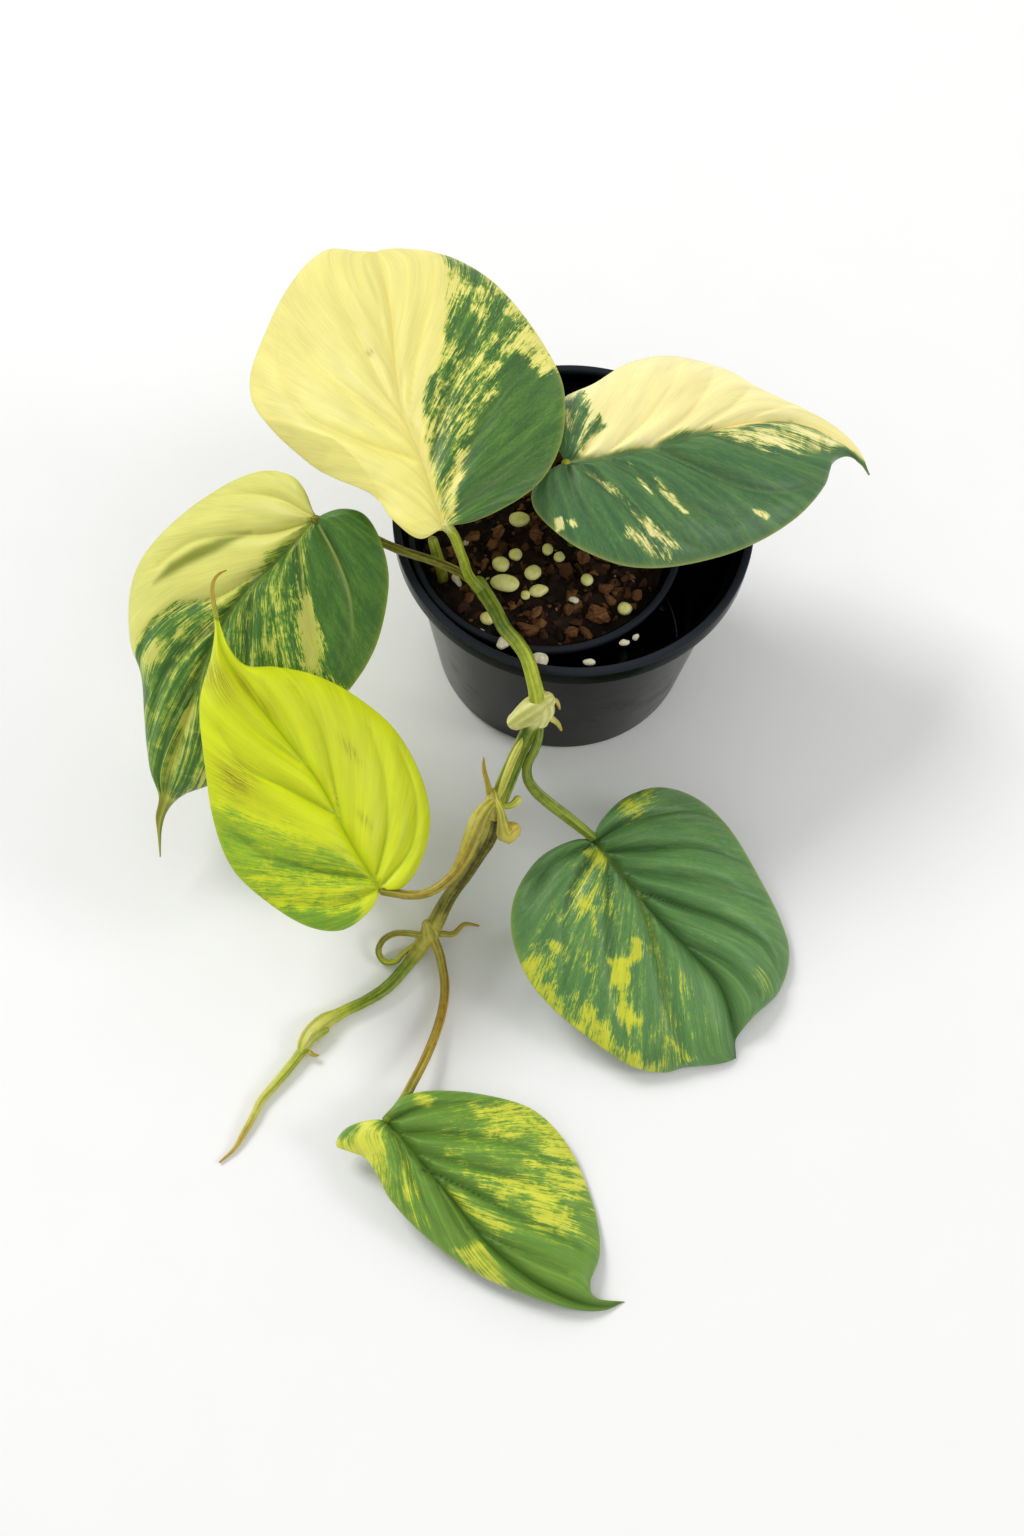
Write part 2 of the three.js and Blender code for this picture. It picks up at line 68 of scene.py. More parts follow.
def joined(shapes):
    """Several shapes as one. They carry the same kinds of value."""
    starts = np.cumsum([0] + [len(s["points"]) for s in shapes[:-1]])
    faces = [[i + start for i in f] for s, start in zip(shapes, starts) for f in s["faces"]]
    values = {k: np.concatenate([s["values"][k] for s in shapes]) for k in shapes[0]["values"]}
    return shape(np.concatenate([s["points"] for s in shapes]), faces, **values)


def grid_faces(rows, columns, wrap=False, flip=False):
    """Quads over a grid of points stored row by row. A wrapped grid joins its last column to its first."""
    row = np.arange(rows - 1)[:, None] * columns
    column = np.arange(columns if wrap else columns - 1)[None, :]
    here, beside = row + column, row + (column + 1) % columns
    quads = np.stack([here, beside, beside + columns, here + columns], -1).reshape(-1, 4)
    return quads[:, ::-1] if flip else quads


def turned_on_axis(profile, sides, place=(0, 0, 0)):
    """A profile of (radius, height) points turned about an upright axis that stands at this place."""
    angle = np.linspace(0, 2 * np.pi, sides, endpoint=False)
    radius, height = np.array(profile, float).T[..., None]
    around = np.broadcast_arrays(radius * np.cos(angle), radius * np.sin(angle), height)
    return shape(np.stack(around, -1).reshape(-1, 3) + place, grid_faces(len(profile), sides, wrap=True))


# %% [markdown]
# ## From arrays to a piece
#
# Each value becomes a mesh attribute, which a finish can read by name. Points that fall together, as at a
# leaf's tip, are merged so that no face is left without an area. Smooth shading hides the facets, and edges
# sharper than the given angle stay crisp. Nothing may dip below the table, so the lowest points stop at it.

# %% Make a piece
ATTRIBUTE_KINDS = {1: ("FLOAT", "value"), 3: ("FLOAT_VECTOR", "vector")}


def in_scene(name, data):
    """A new object in the scene that holds this mesh, light or camera."""
    thing = bpy.data.objects.new(name, data)
    bpy.context.scene.collection.objects.link(thing)
    return thing


def mesh_of(name, points, faces):
    """A Blender mesh, in metres, from points in millimetres."""
    mesh = bpy.data.meshes.new(name)
    mesh.from_pydata((points * MM).tolist(), [], faces)
    return mesh


def make_piece(name, form, finish, nodes=(), crease=60, merge=0.002):
    """A shape as a Blender object that rides on the plant and stands for its CAD nodes."""
    above_table = np.maximum(form["points"], (-np.inf, -np.inf, 0))
    mesh = mesh_of(name, above_table, form["faces"])
    for key, values in form["values"].items():
        values = np.asarray(values, np.float32)
        kind, field = ATTRIBUTE_KINDS[1 if values.ndim == 1 else 3]
        mesh.attributes.new(key, kind, "POINT").data.foreach_set(field, values.ravel())
    tidy_mesh(mesh, merge * MM)
    mesh.shade_smooth()
    mesh.set_sharp_from_angle(angle=math.radians(crease))
    mesh.materials.append(finish)
    piece = in_scene(name, mesh)
    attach(piece, "root")
    if nodes:
        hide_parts(*nodes)
    return piece


def tidy_mesh(mesh, distance):
    """Merges points that fall together and drops what is left of the faces between them."""
    work = bmesh.new()
    work.from_mesh(mesh)
    bmesh.ops.remove_doubles(work, verts=work.verts, dist=distance)
    bmesh.ops.dissolve_degenerate(work, edges=work.edges, dist=distance / 4)
    bmesh.ops.recalc_face_normals(work, faces=work.faces)
    work.to_mesh(mesh)
    work.free()


# %% [markdown]
# ## Smooth lines and lumps
#
# A stem, a vein and a leaf's margin are all smooth lines through a few chosen points. A Catmull-Rom curve
# passes through every one of them, so moving one point moves the line exactly there. Real surfaces are
# also never quite even. A small lattice of random heights, blended between its corners, gives lumps of any
# size, and a fixed seed keeps them the same on each run.

# %% Lines through points
def smooth_line(points, even=0.5, parts=16):
    """A fine Catmull-Rom line through the points. Even 0 treats all spans alike, 0.5 suits uneven ones."""
    p = np.array(points, float)
    p = np.vstack([2 * p[0] - p[1], p, 2 * p[-1] - p[-2]])
    spans = np.linalg.norm(np.diff(p[:, :3], axis=0), axis=1) ** (2 * even)
    t = np.linspace(0, 1, parts, endpoint=False)[:, None]
    line = []
    for i in range(1, len(p) - 2):
        before, here, after = spans[i - 1:i + 2]
        step = p[i + 1] - p[i]
        leave = here * ((p[i] - p[i - 1]) / before - (p[i + 1] - p[i - 1]) / (before + here) + step / here)
        arrive = here * (step / here - (p[i + 2] - p[i]) / (here + after) + (p[i + 2] - p[i + 1]) / after)
        curve = (2 * t**3 - 3 * t**2 + 1) * p[i] + (t**3 - 2 * t**2 + t) * leave
        line.append(curve + (3 * t**2 - 2 * t**3) * p[i + 1] + (t**3 - t**2) * arrive)
    return np.vstack([*line, p[-2:-1]])


def distance_run(line):
    """How far along the line each of its points is."""
    return np.concatenate([[0], np.cumsum(np.linalg.norm(np.diff(line[:, :3], axis=0), axis=1))])


def along(line, shares):
    """Points of a line at these shares of its length."""
    run = distance_run(line)
    return np.stack([np.interp(shares * run[-1], run, line[:, k]) for k in range(line.shape[1])], -1)


# %% Lumps
LATTICE = 16


def lumps(points, size, seed):
    """A smooth random height from -1 to 1 at each point, with lumps of about this size."""
    lattice = np.random.default_rng(seed).random((LATTICE, LATTICE, LATTICE)) * 2 - 1
    cell = np.floor(points / size).astype(int)
    inside = points / size - cell
    inside = inside * inside * (3 - 2 * inside)
    height = np.zeros(len(points))
    for corner in itertools.product((0, 1), repeat=3):
        weight = np.prod(np.where(corner, inside, 1 - inside), axis=1)
        height += weight * lattice[tuple(((cell + corner) % LATTICE).T)]
    return height


# %% [markdown]
# ## Mixing a finish
#
# Every finish on this plant is a node tree on Blender's Principled shader. Writing node trees out by hand
# hides the idea behind dozens of lines, so this small class adds a node, wires its inputs and hands back
# its output. A finish then reads like a recipe. Colours are given as they look on screen, from 0 to 255,
# and turned into the linear light that the shader works in.

# %% A mixer for finishes
def paint(red, green, blue):
    """A screen colour as the linear colour that a shader takes."""
    def linear(part):
        part = part / 255
        return part / 12.92 if part <= 0.04045 else ((part + 0.055) / 1.055) ** 2.4
    return (linear(red), linear(green), linear(blue), 1.0)


class Finish:
    """One material being mixed."""

    def __init__(self, name):
        self.material = bpy.data.materials.new(name)
        self.material.use_nodes = True
        self.tree = self.material.node_tree
        self.shader = self.tree.nodes["Principled BSDF"]

    def wire(self, socket, value):
        if isinstance(value, bpy.types.NodeSocket):
            self.tree.links.new(value, socket)
        else:
            socket.default_value = value

    def add(self, kind, inputs, output=0, **settings):
        node = self.tree.nodes.new(kind)
        for key, value in settings.items():
            setattr(node, key, value)
        for key, value in inputs.items():
            self.wire(node.inputs[key], value)
        return node.outputs[output]

    def value(self, name):
        return self.add("ShaderNodeAttribute", {}, "Fac", attribute_name=name)

    def vector(self, name, stretch=(1, 1, 1)):
        place = self.add("ShaderNodeAttribute", {}, "Vector", attribute_name=name)
        return self.add("ShaderNodeVectorMath", {0: place, 1: stretch}, operation="MULTIPLY")

    def colour(self, name):
        return self.add("ShaderNodeAttribute", {}, "Color", attribute_name=name)

    def noise(self, place, scale=1.0, detail=3.0, rough=0.55, distort=0.0):
        sockets = {"Vector": place, "Scale": scale, "Detail": detail, "Roughness": rough}
        return self.add("ShaderNodeTexNoise", {**sockets, "Distortion": distort})

    def streaks(self, lengthwise, sideways, *settings):
        """Noise that changes slowly along the flow and quickly across it."""
        return self.noise(self.vector("flow", (lengthwise, sideways, 1)), 1.0, *settings)

    def sum(self, first, second):
        return self.add("ShaderNodeMath", {0: first, 1: second}, operation="ADD")

    def times(self, first, second):
        return self.add("ShaderNodeMath", {0: first, 1: second}, operation="MULTIPLY")

    def swing(self, noise, reach):
        """A noise centred on 0 that reaches about this far."""
        return self.times(self.sum(noise, -0.5), 2.0 * reach)

    def ease(self, value, low, high, start=0.0, end=1.0):
        sockets = {"Value": value, "From Min": low, "From Max": high, "To Min": start, "To Max": end}
        return self.add("ShaderNodeMapRange", sockets, interpolation_type="SMOOTHSTEP")

    def blend(self, share, first, second, kind="MIX"):
        return self.add("ShaderNodeMix", {0: share, 6: first, 7: second}, 2,
                        data_type="RGBA", blend_type=kind)

    def ramp(self, value, stops):
        colour = self.add("ShaderNodeValToRGB", {"Fac": value})
        elements = colour.node.color_ramp.elements
        while len(elements) < len(stops):
            elements.new(0.5)
        for element, (place, shade) in zip(elements, stops):
            element.position = place
            element.color = shade
        return colour

    def bump(self, height, depth_mm, strength=1.0):
        sockets = {"Height": height, "Distance": depth_mm * MM, "Strength": strength}
        self.wire(self.shader.inputs["Normal"], self.add("ShaderNodeBump", sockets))

    def finish(self, **sockets):
        for key, value in sockets.items():
            self.wire(self.shader.inputs[key.replace("_", " ")], value)
        return self.material


# %% [markdown]
# ## Camera, table and light
#
# The plant is looked down on steeply, from in front and a little to one side, because it trails towards the
# viewer. The camera's axes are worked out from three angles, so it can be read as a person would say it: 65
# degrees down, rolled by 4. The table is plain and pale. A bright, even sky keeps the shadows soft. A large
# soft panel, high behind the plant on the left, gives the leaves and the rims of the pots their sheen, and a
# weaker one on the right lifts that side a little.

# %% Camera
CAMERA_PLACE = np.array([-12.7, -312.0, 567.2])
CAMERA_DOWN = math.radians(65)
CAMERA_ROLL = math.radians(4)
CAMERA_LENS, CAMERA_SENSOR = 46.875, 36


def add_camera():
    ahead = np.array([0, math.cos(CAMERA_DOWN), -math.sin(CAMERA_DOWN)])
    level = np.array([1.0, 0, 0])
    above = np.cross(level, ahead)
    right = level * math.cos(CAMERA_ROLL) + above * math.sin(CAMERA_ROLL)
    up = above * math.cos(CAMERA_ROLL) - level * math.sin(CAMERA_ROLL)
    matrix = np.eye(4)
    matrix[:3] = np.column_stack([right, up, -ahead, CAMERA_PLACE * MM])
    lens = bpy.data.cameras.new("plant_camera")
    lens.lens = CAMERA_LENS
    lens.sensor_width = CAMERA_SENSOR
    camera = in_scene("plant_camera", lens)
    camera.matrix_world = Matrix(matrix.tolist())
    bpy.context.scene.camera = camera


add_camera()
print("The camera is", round(float(np.linalg.norm(CAMERA_PLACE)) / 1000, 3), "m from the pot's base.")

# %% Table
TABLE_RINGS = (0.02, 60, 200, 600, 3000)
TABLE_TOP = -0.05  # a hair below everything that stands on it
TABLE_SIDES = 48


def add_table():
    form = turned_on_axis([(radius, TABLE_TOP) for radius in TABLE_RINGS], TABLE_SIDES)
    finish = Finish("pale_table")
    grain = finish.noise(finish.add("ShaderNodeTexCoord", {}, "Object"), 40.0)
    white = finish.blend(grain, paint(250, 250, 249), paint(253, 253, 253))
    mesh = mesh_of("table", form["points"], form["faces"])
    mesh.materials.append(finish.finish(Base_Color=white, Roughness=0.9))
    in_scene("table", mesh)


add_table()
print("The table reaches", TABLE_RINGS[-1] * MM, "m to every side.")

# %% Light
SKY_STRENGTH = 0.56


def add_panel(name, place_mm, width_mm, watts):
    """A square light panel that faces the pot."""
    light = bpy.data.lights.new(name, "AREA")
    light.size = width_mm * MM
    light.energy = watts
    place = Matrix.Translation([c * MM for c in place_mm])
    facing = place.to_translation().to_track_quat("Z", "Y").to_matrix().to_4x4()
    in_scene(name, light).matrix_world = place @ facing


def add_sky():
    sky = bpy.data.worlds.new("studio_sky")
    sky.use_nodes = True
    background = sky.node_tree.nodes["Background"].inputs
    background["Color"].default_value = (1, 1, 1, 1)
    background["Strength"].default_value = SKY_STRENGTH
    bpy.context.scene.world = sky
    bpy.context.scene.view_settings.view_transform = "Standard"


add_sky()
add_panel("key_panel", (-1100, 700, 1500), width_mm=700, watts=20)
add_panel("side_panel", (1300, -300, 900), width_mm=450, watts=5)
print("Sky and two soft panels are in place.")

# %% [markdown]
# ## The two nursery pots
#
# Both pots are thin moulded plastic: a tapered wall that steps out to a short upright rim, with a rounded
# lip that catches the light. A pot is a profile turned about an axis. Its corners are listed once and then
# rounded, because a moulding has no sharp edge. The drain holes are cut by a boolean.

# %% Pot sizes
OUTER_POT = dict(rim=52.5, top=48.5, base=40, height=75, skirt=7, lip=2.4, wall=1.2)
INNER_POT = dict(rim=40, top=37.8, base=28.5, height=71.2, skirt=3.4, lip=2.0, wall=1.1)
OUTER_HOLES = dict(count=8, ring=27, radius=3)
INNER_HOLES = dict(count=6, ring=18, radius=2.5)
INNER_PLACE = np.array([-7.8, -4.8, 1.55])
POT_FOOT, POT_RECESS = 2.5, 0.9  # the foot's rounding, and how far the underside is raised inside it
POT_SIDES = 160


def pot_profile(pot):
    """The pot's section from the middle of its underside round to the middle of its floor.
    Each corner is (radius, height, rounding)."""
    step = pot["height"] - pot["skirt"]
    inside_rim = pot["rim"] - pot["lip"]
    inside_base = pot["base"] - pot["wall"]
    return [
        (0, POT_RECESS, 0),
        (pot["base"] * 0.8, POT_RECESS, 0.4),
        (pot["base"] * 0.84, 0, 0.5),
        (pot["base"] - 0.4, 0, POT_FOOT * 0.8),
        (pot["top"], step, 0.5),
        (pot["rim"] - 0.2, step, 0.6),
        (pot["rim"], pot["height"], 1.1),
        (inside_rim, pot["height"], 0.9),
        (inside_rim - 0.3, step + pot["wall"], 0.5),
        (pot["top"] - pot["wall"], step + pot["wall"], 0.6),
        (inside_base, pot["wall"], POT_FOOT * 0.8),
        (0, pot["wall"], 0),
    ]


def rounded(corners, steps=5):
    """The outline with each corner turned into a small curve."""
    line = []
    for i, (radius, height, rounding) in enumerate(corners):
        here = np.array([radius, height])
        if not rounding:
            line.append(here)
            continue
        to_last = np.array(corners[i - 1][:2]) - here
        to_next = np.array(corners[i + 1][:2]) - here
        start = here + to_last * min(0.45, rounding / np.linalg.norm(to_last))
        end = here + to_next * min(0.45, rounding / np.linalg.norm(to_next))
        for t in np.linspace(0, 1, steps + 1):
            line.append((1 - t)**2 * start + 2 * t * (1 - t) * here + t * t * end)
    return np.array(line)


# %% Drill the drain holes
DRILL_SIDES, DRILL_BELOW, DRILL_ABOVE = 32, -3, 5
DRILL_POINT = 0.01  # the drill's two ends close to this radius, and tidying then merges each to one point


def drill(piece, holes, place):
    """Cuts the ring of drain holes out of the pot's floor."""
    radius = holes["radius"]
    profile = [(DRILL_POINT, DRILL_BELOW), (radius, DRILL_BELOW), (radius, DRILL_ABOVE),
               (DRILL_POINT, DRILL_ABOVE)]
    for i in range(holes["count"]):
        turn = (i + 0.5) / holes["count"] * 2 * math.pi
        centre = np.array([holes["ring"] * math.cos(turn), holes["ring"] * math.sin(turn), 0])
        form = turned_on_axis(profile, DRILL_SIDES, centre + place)
        mesh = mesh_of("drill", form["points"], form["faces"])
        tidy_mesh(mesh, 3 * DRILL_POINT * MM)
        bit = in_scene("drill", mesh)
        cut = piece.modifiers.new("drain", "BOOLEAN")
        cut.object, cut.operation, cut.solver = bit, "DIFFERENCE", "EXACT"
        bpy.context.view_layer.update()
        drilled = piece.evaluated_get(bpy.context.evaluated_depsgraph_get())
        piece.data = bpy.data.meshes.new_from_object(drilled)
        piece.modifiers.clear()
        bpy.data.objects.remove(bit)


# %% [markdown]
# ## Moulded plastic
#
# Black nursery plastic is not quite black and not quite even. It is a cool, very dark grey with a satin
# gloss, fine scuffs where pots have been stacked, and a film of dried water and dust that is heaviest
# near the foot. Large soft noise drives the film, and fine noise breaks up the gloss.

# %% Pot plastic
DUST_HEIGHT, LIP_HIGHLIGHT_DEPTH = 0.03, 1.6 * MM  # where the dust has gone, and how far down the lip the painted highlight reaches


def pot_plastic(name, rough, rim_height):
    mix = Finish(name)
    place = mix.add("ShaderNodeTexCoord", {}, "Object")
    film = mix.ease(mix.noise(place, 28.0, 5.0, 0.65), 0.52, 0.72)
    stretched = mix.add("ShaderNodeVectorMath", {0: place, 1: (90, 90, 700)}, operation="MULTIPLY")
    scuffs = mix.noise(stretched, 1.0, 4.0, 0.7)
    height = mix.add("ShaderNodeSeparateXYZ", {0: place}, "Z")
    low = mix.ease(height, DUST_HEIGHT, 0.0)
    dust = mix.times(film, mix.sum(mix.times(low, 0.55), 0.04))
    black = mix.blend(film, paint(7, 8, 11), paint(13, 14, 17))
    top = rim_height * MM
    # Painted highlight: the top of each lip is blended to a paler blue-grey, which stands in for the rim's
    # sheen. Scuff noise makes the band's lower edge uneven.
    wear_and_lip_highlight = mix.ease(mix.sum(height, mix.times(scuffs, 1.2 * MM)), top - LIP_HIGHLIGHT_DEPTH, top)
    black = mix.blend(wear_and_lip_highlight, black, paint(42, 46, 52))
    grain = mix.noise(place, 900.0, 2.0)
    mix.bump(mix.sum(mix.times(scuffs, 0.5), grain), 0.03, 0.35)
    return mix.finish(Base_Color=mix.blend(dust, black, paint(78, 64, 42)),
                      Roughness=mix.sum(rough, mix.times(mix.sum(film, scuffs), 0.13)),
                      Specular_IOR_Level=0.028)


def make_pot(name, sizes, holes, place, rough):
    plastic = pot_plastic(f"{name}_plastic", rough, place[2] + sizes["height"])
    form = turned_on_axis(rounded(pot_profile(sizes)), POT_SIDES, place)
    pot = make_piece(f"{name}_moulding", form, plastic, [name], crease=50)
    drill(pot, holes, place)
    print(pot.name, "has", len(pot.data.polygons), "faces.")


make_pot("outer_pot", OUTER_POT, OUTER_HOLES, (0, 0, 0), rough=0.1)
make_pot("inner_pot", INNER_POT, INNER_HOLES, INNER_PLACE, rough=0.14)

# %% [markdown]
# ## Potting mix
#
# The mix is chunky: broken bark, fibre and fine dark crumbs, with black gaps between them. A bumpy surface
# alone looks like mud, because real crumbs overhang and shade one another. So the body is a low dome with
# coarse lumps, and hundreds of separate broken grains are bedded into it. Each grain is a ball with flat
# facets knocked off, squashed and turned at random.

# %% Body of the mix
MIX_EDGE, MIX_DOME, MIX_RADIUS = 66.6, 2.2, 35.6
MIX_GAP = 0.35  # between the mix and the pot
MIX_BOTTOM = INNER_PLACE[2] + INNER_POT["wall"] + MIX_GAP
MIX_FOOT = INNER_POT["base"] - INNER_POT["wall"] - POT_FOOT - MIX_GAP
MIX_SHOULDER, MIX_CORNER = 3, (2.2, 2.6)  # how far down the top edge starts, and the bevel at the foot
MIX_SUNK = 0.8  # the lumpy top lies this far below the smooth height
MIX_RINGS, MIX_SIDES, MIX_MIDDLE = 64, 200, 0.02


def mix_height(x, y):
    """The smooth height of the mix, in millimetres."""
    share = np.hypot(x - INNER_PLACE[0], y - INNER_PLACE[1]) / MIX_RADIUS
    return MIX_EDGE + MIX_DOME * (1 - share**2)


def body_of_mix():
    """A lumpy top, a little below the grains' level, and plain sides and bottom that no one sees."""
    surface = [(radius, 0) for radius in np.linspace(MIX_MIDDLE, MIX_RADIUS, MIX_RINGS)]
    below = [(MIX_RADIUS, MIX_EDGE - MIX_SHOULDER), (MIX_FOOT + MIX_CORNER[0], MIX_BOTTOM + MIX_CORNER[1]),
             (MIX_FOOT, MIX_BOTTOM), (MIX_MIDDLE, MIX_BOTTOM)]
    body = turned_on_axis(surface + below, MIX_SIDES, (*INNER_PLACE[:2], 0))
    points = body["points"]
    top = points[:MIX_RINGS * MIX_SIDES]
    rough = 0.9 * lumps(top, 6, 11) + 0.7 * lumps(top, 2.6, 12) + 0.35 * lumps(top, 1.1, 13)
    top[:, 2] = mix_height(top[:, 0], top[:, 1]) + rough - MIX_SUNK
    # The body is near-black where it shows between the grains. Part of that is dark humus, and part is
    # painted shade for the gaps.
    return shape(points, body["faces"], shade=0.12 + 0.1 * lumps(points, 4, 14), flow=points)


# %% Broken grains
def read_off(work):
    """The points and faces of a mesh at work, which is then cleared away."""
    points = np.array([v.co for v in work.verts])
    faces = [[v.index for v in f.verts] for f in work.faces]
    work.free()
    return points, faces


def ball(fineness):
    """An even ball of radius 1, as points and faces."""
    work = bmesh.new()
    bmesh.ops.create_icosphere(work, subdivisions=fineness, radius=1)
    return read_off(work)


def knocked(points, random, facets, shallow, deep, spread=(1, 1, 1)):
    """The points with flat facets knocked off, each at a random distance from the middle."""
    knocks = random.normal(size=(facets, 3)) * spread
    knocks /= np.linalg.norm(knocks, axis=1)[:, None]
    distance = random.uniform(shallow, deep, facets)
    return points - np.maximum(points @ knocks.T - distance, 0) @ knocks


def turned(points, random):
    """The points turned by a random amount about every axis."""
    axes, _ = np.linalg.qr(random.normal(size=(3, 3)))
    return points @ axes.T


def grain(points, random, size, flatness):
    """A broken crumb: a ball with a few flat facets knocked off it."""
    broken = knocked(points, random, facets=9, shallow=0.45, deep=0.85)
    return turned(broken * (1, random.uniform(0.6, 0.95), flatness) * size, random)


# %% Scatter the grains
GRAIN_SUNK, GRAIN_SUNK_NEAR = 0.2, 0.75  # how much of a grain's upper half lies in the mix


def scatter_grains(count, low, high, shades, seed, keep_off):
    """Grains bedded in the mix. Near a chip or pellet they sit lower, so that it stays in view."""
    random = np.random.default_rng(seed)
    round_points, faces = ball(2)
    made = []
    for _ in range(count):
        size = low + (high - low) * random.random()**2
        reach = (MIX_RADIUS - size * 0.9) * math.sqrt(random.random())
        turn = random.uniform(0, 2 * math.pi)
        x = INNER_PLACE[0] + reach * math.cos(turn)
        y = INNER_PLACE[1] + reach * math.sin(turn)
        flatness = random.uniform(0.45, 0.9)
        shade = random.choice(shades) + random.uniform(-0.04, 0.04)
        points = grain(round_points, random, size, flatness)
        near = any(math.hypot(x - a, y - b) < size + r for a, b, r in keep_off)
        sunk = points[:, 2].max() * (GRAIN_SUNK_NEAR if near else GRAIN_SUNK)
        points = points + (x, y, float(mix_height(x, y)) - sunk)
        made.append(shape(points, faces, shade=np.full(len(points), shade), flow=points))
    return joined(made)


# %% [markdown]
# ## Bark chips, pellets and pumice
#
# On top lie a few larger pieces: reddish bark chips with a layered grain, and pale slow-release pellets,
# which are smooth, slightly uneven beads. Each has its own place on the mix. Bark splits along its grain,
# so a chip is a block with knocked-off corners, long shallow grooves and ragged ends.

# %% Where the chips and pellets lie
# (x, y, length, width, height, turn in degrees)
CHIPS = [
    (8.7, -29.5, 9, 6.6, 3.4, 20),
    (-10.6, -36, 8.2, 3.6, 3, -8),
    (-21, -5, 5, 3.8, 2.8, 40),
    (-9.9, -5.2, 4.8, 4.2, 3, -30),
    (-29, -6.7, 5, 4, 2.6, 15),
    (3.4, -11.4, 5, 4.2, 3, 60),
    (10.8, -21, 5, 4, 2.6, -20),
    (-15.7, -28.4, 4, 3.4, 2.2, 0),
    (-9, -30.2, 4.8, 3.6, 2.6, 35),
    (-3.8, 0.6, 5.4, 4, 3, -50),
    (1, -35.4, 5, 3.6, 2.4, 10),
]
# (x, y, length, width, turn in degrees)
PELLETS = [
    (-15.7, -0.9, 6.2, 4.6, 10),
    (-16, -12.6, 3.8, 3.8, 0),
    (-20, -16.2, 5.4, 4.6, -20),
    (-6.9, -10.1, 3.2, 3.8, 0),
    (-3.3, -12.3, 3.2, 3.2, 0),
    (-10.6, -18.3, 5.2, 4.2, 30),
    (-18.4, -22.4, 8.6, 5.2, -5),
    (-8.6, -23.8, 5, 4, 15),
    (-12.3, -25, 2.8, 2.8, 0),
    (5, -19.1, 3.6, 3.6, 0),
    (16.3, -27.1, 4.2, 4, 0),
    (-22.6, -33.4, 4.2, 4, 0),
]
BROKEN_PELLETS = (8, 9)
BEAD_HEIGHT = 0.43  # half a bead's height, as a share of its smaller width
CHIP_SUNK, PELLET_RAISED = 0.35, 0.35  # how deep a chip sits in the mix, and how far above it a pellet does
keep_off = [(x, y, max(length, width) / 2) for x, y, length, width, *_ in CHIPS + PELLETS]


def turn_flat(points, degrees):
    cos, sin = math.cos(math.radians(degrees)), math.sin(math.radians(degrees))
    return points @ np.array([[cos, sin, 0], [-sin, cos, 0], [0, 0, 1]])


# %% Shapes of the chips and pellets
def chip_shape(x, y, length, width, height, turn, seed):
    """A block with rounded and knocked-off corners, split along its grain."""
    work = bmesh.new()
    bmesh.ops.create_cube(work, size=2)
    bmesh.ops.subdivide_edges(work, edges=work.edges, cuts=11, use_grid_fill=True)
    cube, faces = read_off(work)
    rounder = cube / np.linalg.norm(cube, ord=3.2, axis=1)[:, None]
    random = np.random.default_rng(seed + 100)
    local = knocked(rounder, random, facets=12, shallow=0.6, deep=0.95, spread=(1, 1, 0.5))
    local *= (length / 2, width / 2, height / 2)
    local[:, 0] *= 0.94 + 0.16 * lumps(local + seed * 7, 1.3, seed)
    local[:, 1] *= 0.94 + 0.2 * lumps(local, 3.2, seed + 40)
    split = np.abs(np.sin(local[:, 1] * 2.3 + 0.9 * lumps(local, 3, seed + 60)))
    local[:, 2] += (0.28 * split + 0.3 * lumps(local, 2, seed + 80)) * np.sign(local[:, 2]) - 0.2
    lift = mix_height(x, y) - local[:, 2].min() - CHIP_SUNK
    points = turn_flat(local, turn) + (x, y, lift)
    return shape(points, faces, flow=local)


def bead_shape(x, y, z, length, width, turn, seed, unevenness):
    """A slightly uneven, flattened ball."""
    points, faces = ball(4)
    local = points * (length / 2, width / 2, min(length, width) * BEAD_HEIGHT)
    local *= (1 + unevenness * lumps(local + seed * 5, max(length, width) * 0.4, seed))[:, None]
    return shape(turn_flat(local, turn) + (x, y, z), faces, flow=local)


# %% [markdown]
# ## Finishes for the mix
#
# Every grain carries one shade from 0 to 1, and the finish turns it into a colour on a scale from
# near-black humus through brown bark to the odd tan splinter. Bark chips add long streaks along their
# grain. Pellets are a waxy yellow-green, a little translucent, with faint mottling.

# %% Mix, bark and pellet finishes
def mix_finish():
    mix = Finish("chunky_potting_mix")
    place = mix.vector("flow")
    fine = mix.noise(place, 1.4, 4.0, 0.7)
    shade = mix.sum(mix.value("shade"), mix.swing(fine, 0.16))
    colour = mix.ramp(shade, [(0.0, paint(14, 9, 5)), (0.3, paint(52, 32, 18)), (0.6, paint(108, 70, 38)),
                              (0.85, paint(152, 108, 62)), (1.0, paint(222, 206, 156))])
    mix.bump(mix.noise(place, 2.6, 4.0, 0.75), 0.25, 0.9)
    return mix.finish(Base_Color=colour, Roughness=0.85, Specular_IOR_Level=0.3)


def bark_finish():
    mix = Finish("split_bark")
    streaks = mix.noise(mix.vector("flow", (0.25, 2.6, 1.4)), 1.0, 5.0, 0.7)
    blotches = mix.noise(mix.vector("flow"), 0.5, 3.0)
    colour = mix.ramp(mix.sum(mix.times(streaks, 0.75), mix.times(blotches, 0.35)),
                      [(0.3, paint(34, 19, 10)), (0.48, paint(98, 62, 34)), (0.66, paint(148, 102, 60))])
    mix.bump(streaks, 0.35, 0.9)
    return mix.finish(Base_Color=colour, Roughness=0.8, Specular_IOR_Level=0.3)


def bead_finish(name, dark, light, pits, rough):
    mix = Finish(name)
    mottle = mix.noise(mix.vector("flow"), 0.8, 4.0, 0.6)
    fine = mix.noise(mix.vector("flow"), 3.2, 3.0, 0.7)
    mix.bump(mix.sum(mix.times(mottle, 0.5), mix.times(fine, pits)), 0.22, 0.6)
    colour = mix.blend(mix.ease(mix.sum(mottle, mix.swing(fine, 0.12)), 0.3, 0.6), dark, light)
    return mix.finish(Base_Color=colour, Roughness=rough, Specular_IOR_Level=0.45,
                      Subsurface_Weight=0.1, Subsurface_Radius=(1.2 * MM, 1.1 * MM, 0.5 * MM),
                      Subsurface_Scale=1.0)


